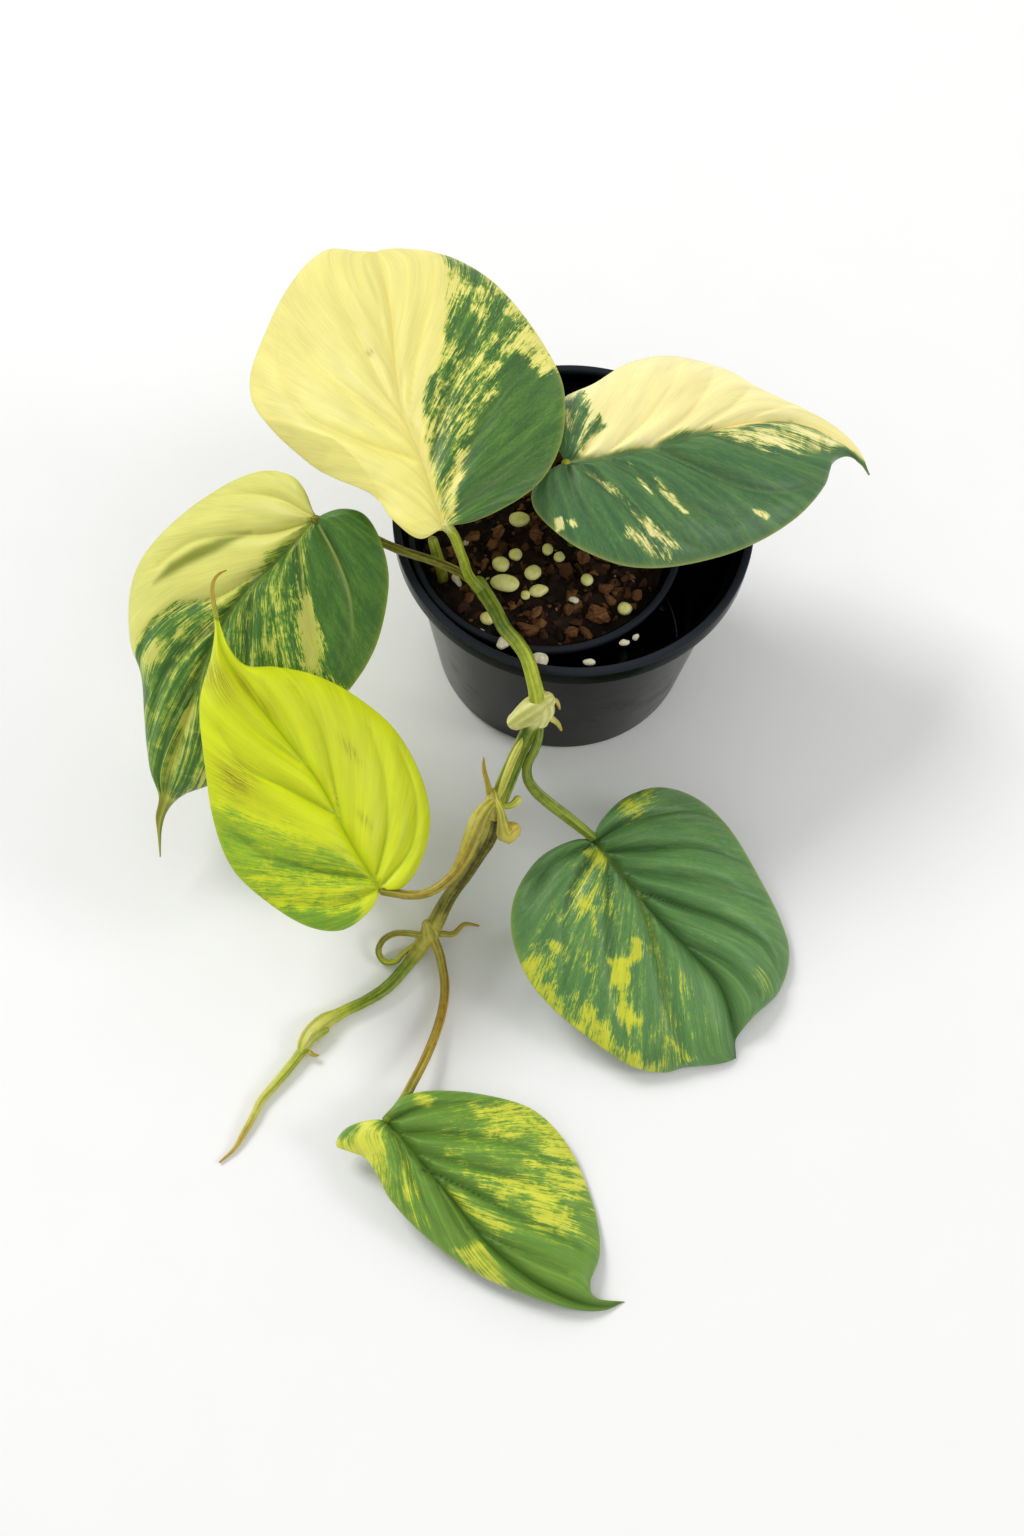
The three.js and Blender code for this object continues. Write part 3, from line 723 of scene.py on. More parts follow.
# %% Lay the mix, chips and pellets
GRAINS = [  # (count, smallest, largest, shades, seed)
    (420, 0.7, 1.9, [0.1, 0.2, 0.34, 0.5, 0.66], 21),
    (170, 1.8, 3.6, [0.16, 0.34, 0.46, 0.58, 0.7], 22),
    (70, 3.0, 4.8, [0.36, 0.5, 0.62, 0.74], 24),
    (26, 0.4, 0.9, [0.9, 0.98], 23),
]
mix_and_grains = joined([body_of_mix(), *(scatter_grains(*kind, keep_off) for kind in GRAINS)])
make_piece("potting_mix_grains", mix_and_grains, mix_finish(), ["potting_mix"], crease=35,
           merge=0.01)

bark = bark_finish()
for number, chip in enumerate(CHIPS, 1):
    form = chip_shape(*chip, seed=number)
    make_piece(f"bark_chip_{number}_split", form, bark, [f"bark_chip_{number}"])

pellet_wax = bead_finish("pellet_wax", paint(250, 240, 112), paint(255, 254, 178), pits=0.08, rough=0.32)
for number, (x, y, length, width, turn) in enumerate(PELLETS, 1):
    z = mix_height(x, y) + PELLET_RAISED + min(length, width) * BEAD_HEIGHT
    unevenness = 0.24 if number in BROKEN_PELLETS else 0.09
    form = bead_shape(x, y, z, length, width, turn, number, unevenness)
    make_piece(f"pellet_{number}_bead", form, pellet_wax, [f"pellet_{number}"])
print("The mix has", len(mix_and_grains["faces"]), "faces. On it lie", len(CHIPS), "chips and",
      len(PELLETS), "pellets.")

# %% Lay the pumice: (x, y, z, length, width, turn)
PUMICE_LUMP = (-7.2, -47.2, 71.6, 5.6, 4.2, 10)
CRUMBS = [
    (-17.6, -43.6, 73.9, 4.4, 3.4, 30), (6.9, -45.9, 70.4, 3.8, 2.2, 5), (16.6, -38.9, 70.4, 3.2, 2.0, 20),
    (19.6, -37.0, 70.6, 2.4, 1.8, 60), (1.5, -25.7, 69.6, 3.0, 1.8, -5), (-32.2, -21.5, 68.6, 4.6, 2.2, -50),
    (-24.4, -37.4, 68.4, 2.2, 1.7, 0), (-30.6, -8.5, 68.6, 2.4, 1.6, 70),
]
pumice = bead_finish("pumice_crumb", paint(214, 202, 156), paint(246, 240, 212), pits=0.7, rough=0.7)
lump = bead_shape(*PUMICE_LUMP, seed=31, unevenness=0.2)
make_piece("pumice_lump_pitted", lump, pumice, ["pumice_lump"])
crumbs = [bead_shape(*crumb, seed=70 + i, unevenness=0.26) for i, crumb in enumerate(CRUMBS)]
make_piece("loose_crumbs", joined(crumbs), pumice)
print("One lump and", len(CRUMBS), "crumbs of pumice lie about.")

# %% [markdown]
# ## Stems, petioles and aerial roots
#
# Everything that is not a leaf on this plant is some kind of stalk: a tube along a smooth line, thicker at
# the nodes and pinched to a point at a root's tip. Each route below is a list of points with a radius, so
# the swellings are part of the line. A stalk is never quite round, so shallow ridges run along it and the
# whole length wanders a little in thickness.

# %% Routes of the stalks: (x, y, z, radius)
STALKS = {
    "vine": [
        (-26.2, -22.8, 56, 2.1), (-26.2, -23, 68, 2.1), (-25.8, -26, 75.5, 2.2), (-23.6, -31.6, 79.4, 2.2),
        (-20.5, -36.9, 80.5, 2.1), (-17.3, -43.0, 81, 2.0), (-13.5, -47.3, 81, 2.0),
        (-11.0, -50.8, 80.5, 2.0), (-9.1, -55.3, 79, 2.1), (-7.4, -59.5, 75.5, 2.3), (-6.9, -62.2, 70, 3.0),
        (-8.7, -65.3, 65, 2.2), (-12.1, -70.1, 56, 2.0), (-16.3, -79.4, 44, 2.2), (-16.8, -83.7, 37, 2.2),
        (-22.6, -91.6, 25, 2.1), (-28.9, -98.1, 14, 2.2), (-33.7, -106, 6, 2.7), (-40, -116.2, 3, 1.9),
        (-46, -123.7, 2.6, 1.8), (-52, -128.2, 2.5, 1.7), (-57.8, -131.7, 2.6, 1.8),
        (-63.5, -136.2, 3.3, 2.6), (-67.3, -142, 3, 2.2), (-67.9, -144.3, 2.8, 1.6),
    ],
    "growing_tip": [
        (-67.8, -144, 2.8, 1.5), (-71.9, -150.5, 2.3, 1.4), (-75.3, -155.3, 2, 1.3),
        (-78.4, -160, 1.9, 1.2), (-79.6, -163.5, 1.8, 1.1), (-82, -169.1, 1.5, 0.9),
        (-84.2, -173.7, 1.1, 0.6), (-87.9, -177.9, 0.7, 0.3),
    ],
    "old_stem": [(-36.4, -20, 56, 1.6), (-36.5, -20.1, 68, 1.6), (-37.8, -20, 78, 1.6),
                 (-39.2, -19.3, 86, 1.4)],
    "petiole_a": [
        (-24.6, -30.6, 79.6, 1.8), (-27.6, -28.9, 82.4, 1.6), (-30.5, -27.8, 93, 1.4),
        (-33.7, -28.3, 107, 1.4), (-35, -29.7, 111, 1.3),
    ],
    "petiole_b": [
        (-26.4, -27.4, 77.6, 1.4), (-30.9, -25.9, 80.6, 1.3), (-37, -24.4, 82.6, 1.3),
        (-45.1, -21.2, 81.2, 1.3), (-51, -18.2, 79.4, 1.3), (-56, -16.2, 79.6, 1.3),
        (-63.1, -15.4, 82, 1.3), (-68.5, -15.8, 85.5, 1.3), (-72.2, -16.8, 88.8, 1.3),
    ],
    "petiole_c": [
        (0, -5.2, 56, 1.5), (-0.1, -5.4, 72, 1.4), (-1.1, -4.8, 84, 1.4), (-2.7, -2.8, 95, 1.4),
        (-3.7, -1.9, 103, 1.3),
    ],
    "petiole_d": [
        (-6.0, -62.6, 67, 1.2), (-5.7, -65.4, 62.6, 1.2), (-6.4, -67.6, 58, 1.3), (-8.4, -71.2, 53, 1.4),
        (-8.1, -73.2, 49.4, 1.5), (-5.4, -75.2, 44.5, 1.6), (-1.2, -76.6, 40, 1.7), (4.4, -78.2, 34.8, 1.7),
        (11.9, -80.8, 28, 1.5),
    ],
    "petiole_e": [
        (-17, -80, 45.6, 1.6), (-18.9, -82.6, 47.8, 2.0), (-21.0, -87, 48.6, 2.6), (-22.6, -92.2, 48, 2.5),
        (-24.2, -97.4, 46.8, 2.1), (-26.4, -101.8, 45.6, 1.7), (-30.4, -106.2, 44.5, 1.4),
        (-34.9, -108.6, 43.7, 1.3), (-39.6, -109.1, 43.3, 1.3), (-43.5, -108.8, 43.6, 1.3),
        (-46.2, -109.1, 44.8, 1.2),
    ],
    "petiole_f": [
        (-33.4, -106.6, 5.6, 1.8), (-31.2, -110.2, 4.6, 1.5), (-28.9, -116.9, 3.4, 1.4),
        (-28, -121.5, 3.2, 1.4), (-27.9, -126.3, 3.4, 1.4), (-28.3, -130.6, 3.9, 1.4),
        (-30.8, -141.8, 6, 1.4), (-34.4, -152.2, 8.3, 1.4), (-38, -160.4, 9.8, 1.4),
        (-41.1, -165.1, 11.6, 1.3),
    ],
    "torn_sheath": [(-15, -80.4, 44.6, 1.0), (-12.3, -80, 44.4, 1.0), (-11.4, -79.4, 44.5, 1.1),
                    (-10.5, -78.4, 44.9, 1.3)],
    "curled_sheath": [
        (-16.4, -80.6, 46.8, 1.3), (-15.2, -82.6, 46.2, 1.2), (-14.6, -84.2, 44.4, 1.4),
        (-13.9, -85.9, 42.4, 2.1), (-12.9, -87.4, 41, 3.1), (-11.5, -86.4, 41.1, 2.6),
    ],
    "hook_root_upper": [(-3.4, -60.2, 72.5, 0.7), (-2.4, -59.9, 73, 0.7), (-1.2, -60, 71, 0.6),
                        (-0.6, -60.3, 68.6, 0.3)],
    "hook_root_lower": [(-3.2, -63.5, 69.3, 1.0), (-2.2, -63.9, 68.8, 0.9), (-0.8, -63.9, 66.5, 0.7),
                        (0.3, -64, 63, 0.4)],
    "spike_root": [(-18.6, -78.1, 48.2, 1.0), (-19.4, -76.8, 52, 0.8), (-20.6, -74.2, 55.4, 0.6),
                   (-20.9, -72.2, 58.6, 0.2)],
    "side_root": [(-30.3, -106.1, 5.5, 1.0), (-26.8, -105.5, 4.5, 0.9), (-23.7, -102.2, 4.4, 0.7),
                  (-19.4, -101.6, 2.5, 0.3)],
    "looped_root": [
        (-36, -107.4, 6.6, 1.0), (-40.4, -106.8, 6, 0.95), (-44.4, -106.9, 5, 0.95), (-47.6, -108.9, 4, 0.95),
        (-48.6, -112.2, 2.6, 0.95), (-46.5, -114.9, 1.9, 0.95), (-43.2, -114.5, 2, 0.9),
        (-41.2, -112.4, 3.4, 0.8), (-38.4, -110.2, 5, 0.7),
    ],
    "spur_root": [(-65.5, -144.7, 3.2, 0.8), (-64.4, -145.2, 2.6, 0.6), (-63.2, -145, 2.2, 0.3)],
}
print("The vine is", round(distance_run(smooth_line(STALKS["vine"]))[-1], 1), "mm long.")


# %% [markdown]
# ## Sweeping a stalk
#
# To sweep a ring along a line, each ring needs its own pair of sideways directions. Working these out afresh
# at every point makes the tube twist, so the first pair is carried forward and only straightened a little at
# each step. The ends close in small domes, which also bury themselves in the stalk or leaf they grow from.

# %% Sideways directions and domed ends
DOME_RINGS = 5


def carried_frames(centres):
    """For every centre: two directions square to the line, carried along it without twisting."""
    ahead = np.gradient(centres, axis=0)
    ahead /= np.linalg.norm(ahead, axis=1)[:, None]
    side = np.cross(ahead[0], (0.31, 0.17, 0.94))
    sides = []
    for direction in ahead:
        side = side - direction * (side @ direction)
        side /= np.linalg.norm(side)
        sides.append(side)
    sides = np.array(sides)
    return ahead, sides, np.cross(ahead, sides)


def with_domes(centres, ahead, radii, carried):
    """The rings of a tube with a small dome of rings added at each end, where carried values repeat."""
    dome = np.sin(np.linspace(0, 1, DOME_RINGS + 1)[1:] * np.pi / 2)
    thin = np.sqrt(np.maximum(1 - dome**2, 0.0004))
    start = centres[0] - dome[::-1, None] * radii[0] * ahead[0]
    end = centres[-1] + dome[:, None] * radii[-1] * ahead[-1]
    repeats = np.ones(len(centres), int)
    repeats[[0, -1]] += DOME_RINGS
    radii = np.concatenate([radii[0] * thin[::-1], radii, radii[-1] * thin])
    return np.vstack([start, centres, end]), radii, *(np.repeat(v, repeats, axis=0) for v in carried)


# %% Sweep a stalk
STALK_SIDES, STALK_PITCH, FEWEST_RINGS = 28, 0.7, 12  # the pitch is the distance between rings
SKIN_RADIUS = 2  # the skin's streaks are the same on every stalk, as if each were this thick


def stalk_shape(route, tones, seed, ridges=0.02):
    """A tube along the route. Tones gives the colour at some of its points, by their number."""
    line = smooth_line(np.column_stack([np.array(route, float), np.arange(len(route))]))
    line = along(line, np.linspace(0, 1, max(FEWEST_RINGS, round(distance_run(line)[-1] / STALK_PITCH))))
    ahead, *directions = carried_frames(line[:, :3])
    rings = with_domes(line[:, :3], ahead, line[:, 3], (line[:, 4], *directions))
    centres, radii, numbers, sides, others = rings
    run = distance_run(centres)
    angle = np.linspace(0, 2 * np.pi, STALK_SIDES, endpoint=False)
    out = np.cos(angle)[None, :, None] * sides[:, None] + np.sin(angle)[None, :, None] * others[:, None]
    even = centres[:, None] + out * radii[:, None, None]
    wander = 0.05 * lumps(even.reshape(-1, 3), 3.5, seed).reshape(len(centres), -1)
    fluting = ridges * np.cos(3 * angle + seed) + ridges * 0.6 * np.cos(7 * angle + 0.08 * run[:, None])
    points = centres[:, None] + out * (radii[:, None] * (1 + fluting + wander))[..., None]
    stops = sorted(tones)
    tone = np.stack([np.interp(numbers, stops, [tones[k][c] for k in stops]) for c in range(3)], -1)
    flow = np.broadcast_arrays(SKIN_RADIUS * np.cos(angle), SKIN_RADIUS * np.sin(angle), run[:, None])
    faces = grid_faces(len(centres), STALK_SIDES, wrap=True).tolist()
    last = (len(centres) - 1) * STALK_SIDES
    faces += [list(range(STALK_SIDES))[::-1], list(range(last, last + STALK_SIDES))]
    return shape(points.reshape(-1, 3), faces, tone=np.repeat(tone, STALK_SIDES, axis=0),
                 flow=np.stack(flow, -1).reshape(-1, 3))


# %% [markdown]
# ## Skin of the stalks
#
# A young stem is waxy, with fine lighter and darker lines running along it. The vine shades from fresh green
# to olive and back as it ages, and its nodes are cream, so the colour is stored along the route instead of
# mixed from noise. The finish only adds the streaks, a little mottling and a satin gloss. Roots and the
# papery sheaths round the nodes are drier, so they get a rougher version with deeper bumps.

# %% Stalk finish
def stalk_skin(name, streak_depth, rough):
    mix = Finish(name)
    streaks = mix.noise(mix.vector("flow", (0.9, 0.9, 0.035)), 1.0, 3.0, 0.6)
    mottle = mix.noise(mix.vector("flow"), 0.45, 3.0, 0.6)
    shade = mix.sum(mix.swing(streaks, 0.8), mix.swing(mottle, 0.3))
    dark = mix.blend(1.0, mix.colour("tone"), paint(196, 200, 140), "MULTIPLY")
    light = mix.blend(0.34, mix.colour("tone"), paint(222, 220, 96))
    colour = mix.blend(mix.ease(shade, -0.3, 0.35), dark, light)
    mix.bump(mix.sum(streaks, mix.times(mottle, 0.4)), streak_depth, 0.8)
    return mix.finish(Base_Color=colour, Roughness=rough, Specular_IOR_Level=0.26)


waxy_skin = stalk_skin("waxy_stem_skin", 0.08, 0.34)
dry_skin = stalk_skin("dry_papery_skin", 0.2, 0.55)

# %% Colours along each stalk, by route point
GREEN, LEAF_GREEN = paint(116, 146, 34), paint(84, 122, 26)
OLIVE, DARK_OLIVE = paint(122, 114, 28), paint(82, 74, 12)
CREAM, PALE_NODE = paint(240, 236, 176), paint(192, 180, 88)
TAN, AMBER, LIME = paint(206, 176, 84), paint(186, 136, 44), paint(182, 198, 62)
BRONZE, PALE_LIME, SHEATH = paint(158, 130, 42), paint(220, 218, 112), paint(168, 150, 62)
TONES = {
    "vine": {0: OLIVE, 2: GREEN, 5: LEAF_GREEN, 8: LIME, 9.4: LIME, 9.8: CREAM, 10.5: CREAM, 10.9: LEAF_GREEN,
             12.4: GREEN, 13.2: PALE_NODE, 13.6: DARK_OLIVE, 16.2: DARK_OLIVE, 16.8: PALE_NODE,
             17.4: PALE_NODE, 18: GREEN, 20: GREEN, 21: LIME, 22: PALE_LIME, 23: PALE_LIME, 24: LIME},
    "growing_tip": {0: LIME, 3: PALE_LIME, 4: PALE_LIME, 5: TAN, 6: TAN, 7: AMBER},
    "old_stem": {0: OLIVE, 3: GREEN},
    "petiole_a": {0: GREEN, 3: LIME, 4: CREAM},
    "petiole_b": {0: OLIVE, 5: DARK_OLIVE, 8: OLIVE},
    "petiole_c": {0: GREEN, 4: LIME},
    "petiole_d": {0: LEAF_GREEN, 4: LEAF_GREEN, 6: GREEN, 8: GREEN},
    "petiole_e": {0: PALE_NODE, 1: PALE_NODE, 3: SHEATH, 5: BRONZE, 8: BRONZE, 10: OLIVE},
    "petiole_f": {0: PALE_NODE, 2: BRONZE, 5: AMBER, 7: BRONZE, 8: GREEN, 9: GREEN},
    "torn_sheath": {0: LIME, 3: PALE_LIME},
    "curled_sheath": {0: PALE_LIME, 2: PALE_NODE, 4: PALE_NODE, 5: TAN},
    "hook_root_upper": {0: CREAM, 3: AMBER},
    "hook_root_lower": {0: CREAM, 2: PALE_NODE, 3: AMBER},
    "spike_root": {0: PALE_NODE, 3: AMBER},
    "side_root": {0: PALE_NODE, 2: TAN, 3: AMBER},
    "looped_root": {0: PALE_NODE, 3: OLIVE, 6: LIME, 8: PALE_NODE},
    "spur_root": {0: PALE_NODE, 2: TAN},
}
DRY = ("torn_sheath", "curled_sheath", "hook_root_upper", "hook_root_lower", "spike_root", "side_root",
       "spur_root")


# %% [markdown]
# ## Knobs at the nodes
#
# Where a leaf joins the vine, the stem carries a pale, knuckled swelling. These knobs are short fat stalks
# joined to the vine, so that they blend into it. Two thin strands run down the vine's side between its first
# two nodes, and they are joined to it as well. One is green. The other is pale, and it is a painted highlight
# along the top of the vine.

# %% Knobs and strands: (route, tones)
KNOBS = [
    ([(-4.6, -60.4, 73.2, 2.6), (-7.2, -61.8, 71.6, 3.7), (-10.2, -63.4, 69.4, 3.4),
      (-12.6, -64.6, 67.6, 2.5)], {0: CREAM, 3: CREAM}),
    ([(-6.0, -60, 74.4, 2.0), (-4.9, -61.9, 71.4, 2.9), (-5.4, -64.2, 67.6, 1.9)], {0: CREAM, 2: CREAM}),
    ([(-7.4, -64.6, 65.2, 1.3), (-10.5, -69.8, 55.8, 1.4), (-12.6, -74.4, 49.8, 1.4),
      (-14.4, -78.8, 44.6, 1.2)], {0: LEAF_GREEN, 2: LEAF_GREEN, 3: GREEN}),
    # The pale strand: its colour is a painted highlight along the top of the vine.
    ([(-8.8, -65.6, 66, 1.2), (-12.3, -70.7, 57, 1.3), (-14.5, -75.2, 51, 1.3), (-16.5, -79.8, 45.2, 1.3)],
     {0: PALE_LIME, 3: PALE_LIME}),
    ([(-17.6, -78.2, 47.4, 1.8), (-17.2, -80.4, 45.2, 2.5), (-16.8, -82.8, 42.8, 1.7)],
     {0: PALE_NODE, 1: CREAM, 2: PALE_NODE}),
    ([(-34.6, -104.6, 8.6, 1.6), (-33.6, -106.2, 6.4, 3.0), (-32.6, -108.4, 4.6, 1.7)],
     {0: PALE_NODE, 2: PALE_NODE}),
    ([(-62.2, -137.4, 3.3, 1.6), (-65.4, -139.4, 3.4, 2.6), (-67.2, -142.6, 3.1, 1.8)], {0: LIME, 2: CREAM}),
]

# %% Make the stalks
for number, (name, route) in enumerate(STALKS.items()):
    stalk = stalk_shape(route, TONES[name], seed=number + 3)
    if name == "vine":
        knobs = [stalk_shape(line, tones, seed=50 + i, ridges=0.035) for i, (line, tones) in enumerate(KNOBS)]
        stalk = joined([stalk, *knobs])
    skin = dry_skin if name in DRY else waxy_skin
    make_piece(f"{name}_skin", stalk, skin, [name], merge=0.004)
print(len(STALKS), "stalks are swept.")

# %% [markdown]
# ## Leaf outlines
#
# Each blade is drawn flat first, in millimetres from the point where its stalk joins: how far across, and how
# far along. It has a midrib, a margin on either side, and a drip tip. Heading, pitch, bank, bend and droop
# then set it in space. Drawing flat makes the veins and the pale patches easy to place, because they
# belong to the blade and bend with it.

# %% The six blades
# The base is in millimetres, the angles are in degrees, and a bend is spread over the blade's length. Droop
# is how far the left and the right half sink at this distance from the midrib.
DROOP_WIDTH = 35
BLADES = {
    "leaf_a": dict(
        base=(-35.3, -30.6, 112), heading=106, pitch=10, bank=0, bend=28, length=100, droop=(6.2, 4.6),
        spine=[(-2, 22), (-4, 37), (-3, 53), (-1, 68), (0, 85)],
        left=[(-7, -2), (-13, 5), (-17, 15), (-31, 32), (-41, 48), (-43, 61), (-39, 75), (-30, 91),
              (-19, 103), (-12, 107), (-5, 103)],
        right=[(10, 1), (27, 9), (37, 21), (42, 38), (42, 52), (38, 67), (29, 86), (18, 99), (8, 102)],
        tip=(0, 101)),
    "leaf_b": dict(
        base=(-72.3, -17, 90), heading=238, pitch=-33, bank=0, bend=14, length=100, droop=(12, 5),
        spine=[(4, 16), (9, 32), (10, 50), (7, 70), (5, 86), (2.5, 99), (1, 107)],
        left=[(-5, -6), (-12, -8), (-20, -3), (-26, 6), (-30, 22), (-30, 36), (-27, 50), (-19, 69), (-8, 85),
              (-1, 94), (1.2, 102), (-1.2, 110)],
        right=[(7, -5), (14, -6), (23, -2), (32, 8), (40, 23), (45, 40), (43, 53), (36, 64), (28, 70),
               (21, 80), (12, 91), (5, 97), (3, 104), (-0.4, 110)],
        tip=(-3, 115)),
    "leaf_c": dict(
        base=(-3.8, -1.8, 104), heading=12, pitch=-3, bank=5, bend=22, length=80, droop=(10, 8),
        spine=[(-1, 12), (-5, 30), (-10, 46), (-14, 62), (-15, 75), (-12, 86), (-7, 93)],
        left=[(-6, -2), (-15, -2), (-24, 4), (-30, 15), (-39, 29), (-43, 46), (-40, 61), (-31, 69), (-23, 78),
              (-16, 88), (-8, 95)],
        right=[(5, -9), (11, -10.5), (18, -6), (25, 2), (30, 14), (30, 29), (25, 51), (17, 67), (6, 79),
               (-2, 84), (-5.5, 90), (-4, 95)],
        tip=(0, 97)),
    "leaf_d": dict(
        base=(12.4, -81.2, 27), heading=-50, pitch=-5, bank=0, bend=28, length=76, droop=(5.4, 3.1),
        spine=[(-1, 12), (-2, 28), (-5, 44), (-7, 57), (-4, 69)],
        left=[(-6, -3.5), (-16, -5.5), (-28, -3), (-36, 5), (-39, 17), (-38, 36), (-37, 52), (-33, 63),
              (-23, 70), (-11, 71), (-3, 73)],
        right=[(6, -3.5), (16, -5), (28, 0), (36, 10), (39, 24), (36, 41), (29, 60), (21, 69), (14, 72),
               (6, 76)],
        tip=(0, 78)),
    "leaf_e": dict(
        base=(-46.8, -109.3, 46), heading=132, pitch=24, bank=0, bend=4, length=88, droop=(4, 3),
        spine=[(1, 18), (3, 34), (2, 52), (1, 68), (1.5, 79), (4.5, 86)],
        left=[(-6, -3), (-15, -3), (-22, 3), (-27, 14), (-30, 28), (-27, 42), (-20, 57), (-12, 71), (-2, 80),
              (3.5, 86), (6, 90.5)],
        right=[(6, -3), (15, 0), (24, 8), (29, 20), (30, 35), (26, 49), (20, 60), (12, 68), (5, 73), (4, 80),
               (6.4, 89)],
        tip=(9, 95)),
    "leaf_f": dict(
        base=(-41.4, -165.3, 13), heading=-38, pitch=2, bank=0, bend=20, length=84, droop=(8, 12),
        spine=[(2, 16), (4, 30), (6, 44), (5, 60), (1, 73), (-4, 80.5)],
        left=[(-8, -1), (-16, 4), (-24, 13), (-31, 26), (-32, 37), (-29, 49), (-22, 62), (-14, 70), (-6, 73),
              (-4, 77)],
        right=[(4, -4), (9, -7.5), (14, -6.5), (12.8, -1.5), (11.5, 3), (13, 9), (15.5, 17), (16, 30),
               (14, 47), (9, 62), (3, 74), (-3, 81)],
        tip=(-9, 84)),
}

# %% [markdown]
# ## Veins
#
# The side veins of a philodendron leave the midrib low down and sweep round towards the tip. Seen from
# above they are grooves, and the blade swells between them like quilting. A vein here is a line of a few
# flat points with a strength: 1 presses a clear furrow, and small values leave a faint crease.

# %% Vein lines: (strength, points)
VEINS = {
    "leaf_a": [
        (0.7, [(-4, 33), (-8, 48), (-11, 64), (-14, 82), (-15, 100)]),
        (0.6, [(-3, 28), (-12, 40), (-20, 52), (-26, 68), (-27, 86)]),
        (0.7, [(-2, 20), (-18, 31), (-30, 44), (-34, 62), (-32, 80)]),
        (0.5, [(-3, 45), (-4, 62), (-3, 80), (-4, 98)]),
        (0.6, [(0, 6), (12, 22), (23, 36), (34, 52)]),
        (0.5, [(-1, 16), (9, 38), (20, 58), (28, 78)]),
        (0.5, [(-3, 34), (4, 56), (12, 76), (16, 94)]),
        (0.5, [(1, 2), (15, 9), (30, 18)]),
    ],
    "leaf_b": [
        (0.9, [(2, 3), (10, 11), (21, 18), (31, 26), (38, 38)]),
        (0.8, [(7, 22), (16, 36), (26, 45), (31, 56), (29, 67)]),
        (0.6, [(1, 0), (12, 1), (24, 6), (37, 15)]),
        (0.7, [(9, 40), (16, 52), (19, 66), (15, 82)]),
        (0.5, [(9, 58), (10, 74), (7, 90)]),
        (0.9, [(-1, 1), (-10, 6), (-17, 12), (-23, 22), (-26, 36)]),
        (0.7, [(1, 8), (-8, 20), (-16, 32), (-20, 48)]),
        (0.6, [(7, 26), (-1, 42), (-9, 60)]),
        (0.5, [(8, 46), (2, 62), (-3, 78)]),
    ],
    "leaf_c": [
        (0.5, [(-1, 5), (-10, 11), (-20, 17), (-33, 24)]),
        (0.5, [(-2, 12), (-12, 25), (-24, 35), (-38, 44)]),
        (0.4, [(-4, 24), (-12, 36), (-23, 46), (-37, 56)]),
        (0.4, [(-8, 38), (-17, 52), (-28, 64)]),
        (0.3, [(-12, 54), (-18, 66), (-22, 76)]),
        (0.7, [(0, 3), (11, 12), (22, 24), (26, 36)]),
        (0.8, [(-1, 10), (6, 20), (14, 31), (19, 46)]),
        (1.2, [(-4, 24), (3, 37), (9, 51), (10, 64), (6, 77)]),
        (0.6, [(-9, 42), (-4, 54), (-2, 68), (-5, 82)]),
        (0.5, [(2, 0), (12, 1), (23, 7)]),
    ],
    "leaf_d": [
        (0.9, [(-1, 1), (-9, 1), (-20, 4), (-31, 9), (-38, 16)]),
        (1.2, [(-1, 5), (-11, 11), (-25, 19), (-36, 32)]),
        (0.6, [(-2, 13), (-12, 22), (-23, 31), (-34, 46)]),
        (1.2, [(-2, 20), (-10, 31), (-20, 44), (-26, 56), (-25, 67)]),
        (0.7, [(-4, 40), (-12, 53), (-15, 66)]),
        (0.9, [(-2, 20), (3, 35), (10, 52), (14, 68)]),
        (0.6, [(0, 8), (9, 20), (19, 36), (26, 54)]),
        (0.7, [(1, 3), (13, 8), (24, 18), (33, 33)]),
        (0.7, [(2, 1), (15, -1), (27, 4)]),
    ],
    "leaf_e": [
        (1.0, [(1, 20), (7, 34), (12, 47), (13, 60)]),
        (0.8, [(0, 3), (11, 13), (19, 25), (24, 39)]),
        (0.7, [(1, 1), (14, 5), (24, 16), (28, 30)]),
        (0.6, [(3, 40), (6, 54), (6, 66)]),
        (1.1, [(2, 24), (-6, 39), (-12, 50), (-12, 62)]),
        (0.7, [(0, 4), (-12, 15), (-22, 28), (-25, 40)]),
        (0.7, [(2, 42), (-3, 54), (-6, 67)]),
        (0.6, [(-1, 1), (-12, 3), (-23, 11)]),
    ],
    "leaf_f": [
        (0.9, [(0, 1), (-9, 5), (-20, 13), (-29, 27)]),
        (0.8, [(1, 5), (-8, 15), (-18, 29), (-25, 45)]),
        (0.7, [(2, 12), (-6, 26), (-14, 43), (-19, 60)]),
        (1.1, [(3, 18), (-1, 31), (-5, 47), (-11, 65)]),
        (0.7, [(6, 38), (2, 52), (-3, 66)]),
        (0.6, [(1, 6), (8, 18), (13, 34)]),
        (0.5, [(4, 24), (9, 38), (10, 54)]),
    ],
}

# Veins that show as a thin light line: (strength, points)
PALE_LINES = {
    "leaf_a": [(1.0, [(0, 1), (-1, 14), (-2, 24), (-3, 36), (-3, 50)])],
    "leaf_b": [(0.9, [(-2, 1), (-10, 6), (-17, 12), (-22, 19), (-27, 30)]),
               (0.6, [(1, 8), (-8, 20), (-15, 31)])],
    "leaf_c": [(0.7, [(0, 1), (-2, 12), (-5, 26)])],
    "leaf_d": [(0.7, [(-2, 20), (3, 35), (10, 52), (14, 68)]), (0.5, [(0, 2), (-1, 12), (-2, 24)])],
    "leaf_e": [(0.5, [(0, 2), (1, 18), (2, 32)])],
    "leaf_f": [(0.4, [(1, 4), (2, 16)])],
}

# %% [markdown]
# ## Variegation
#
# The marbling comes from cells that lost their green early in the leaf's growth, so it follows the veins in
# brushed streaks, with some clean areas and some broken ones. That is two things to say for each place on
# the blade: how pale it is on the whole, and how much it is broken up. Patches drawn on the flat blade say
# both, each with a soft edge, and later patches cover earlier ones. The finish then breaks them up with
# streaks that run from midrib to margin.

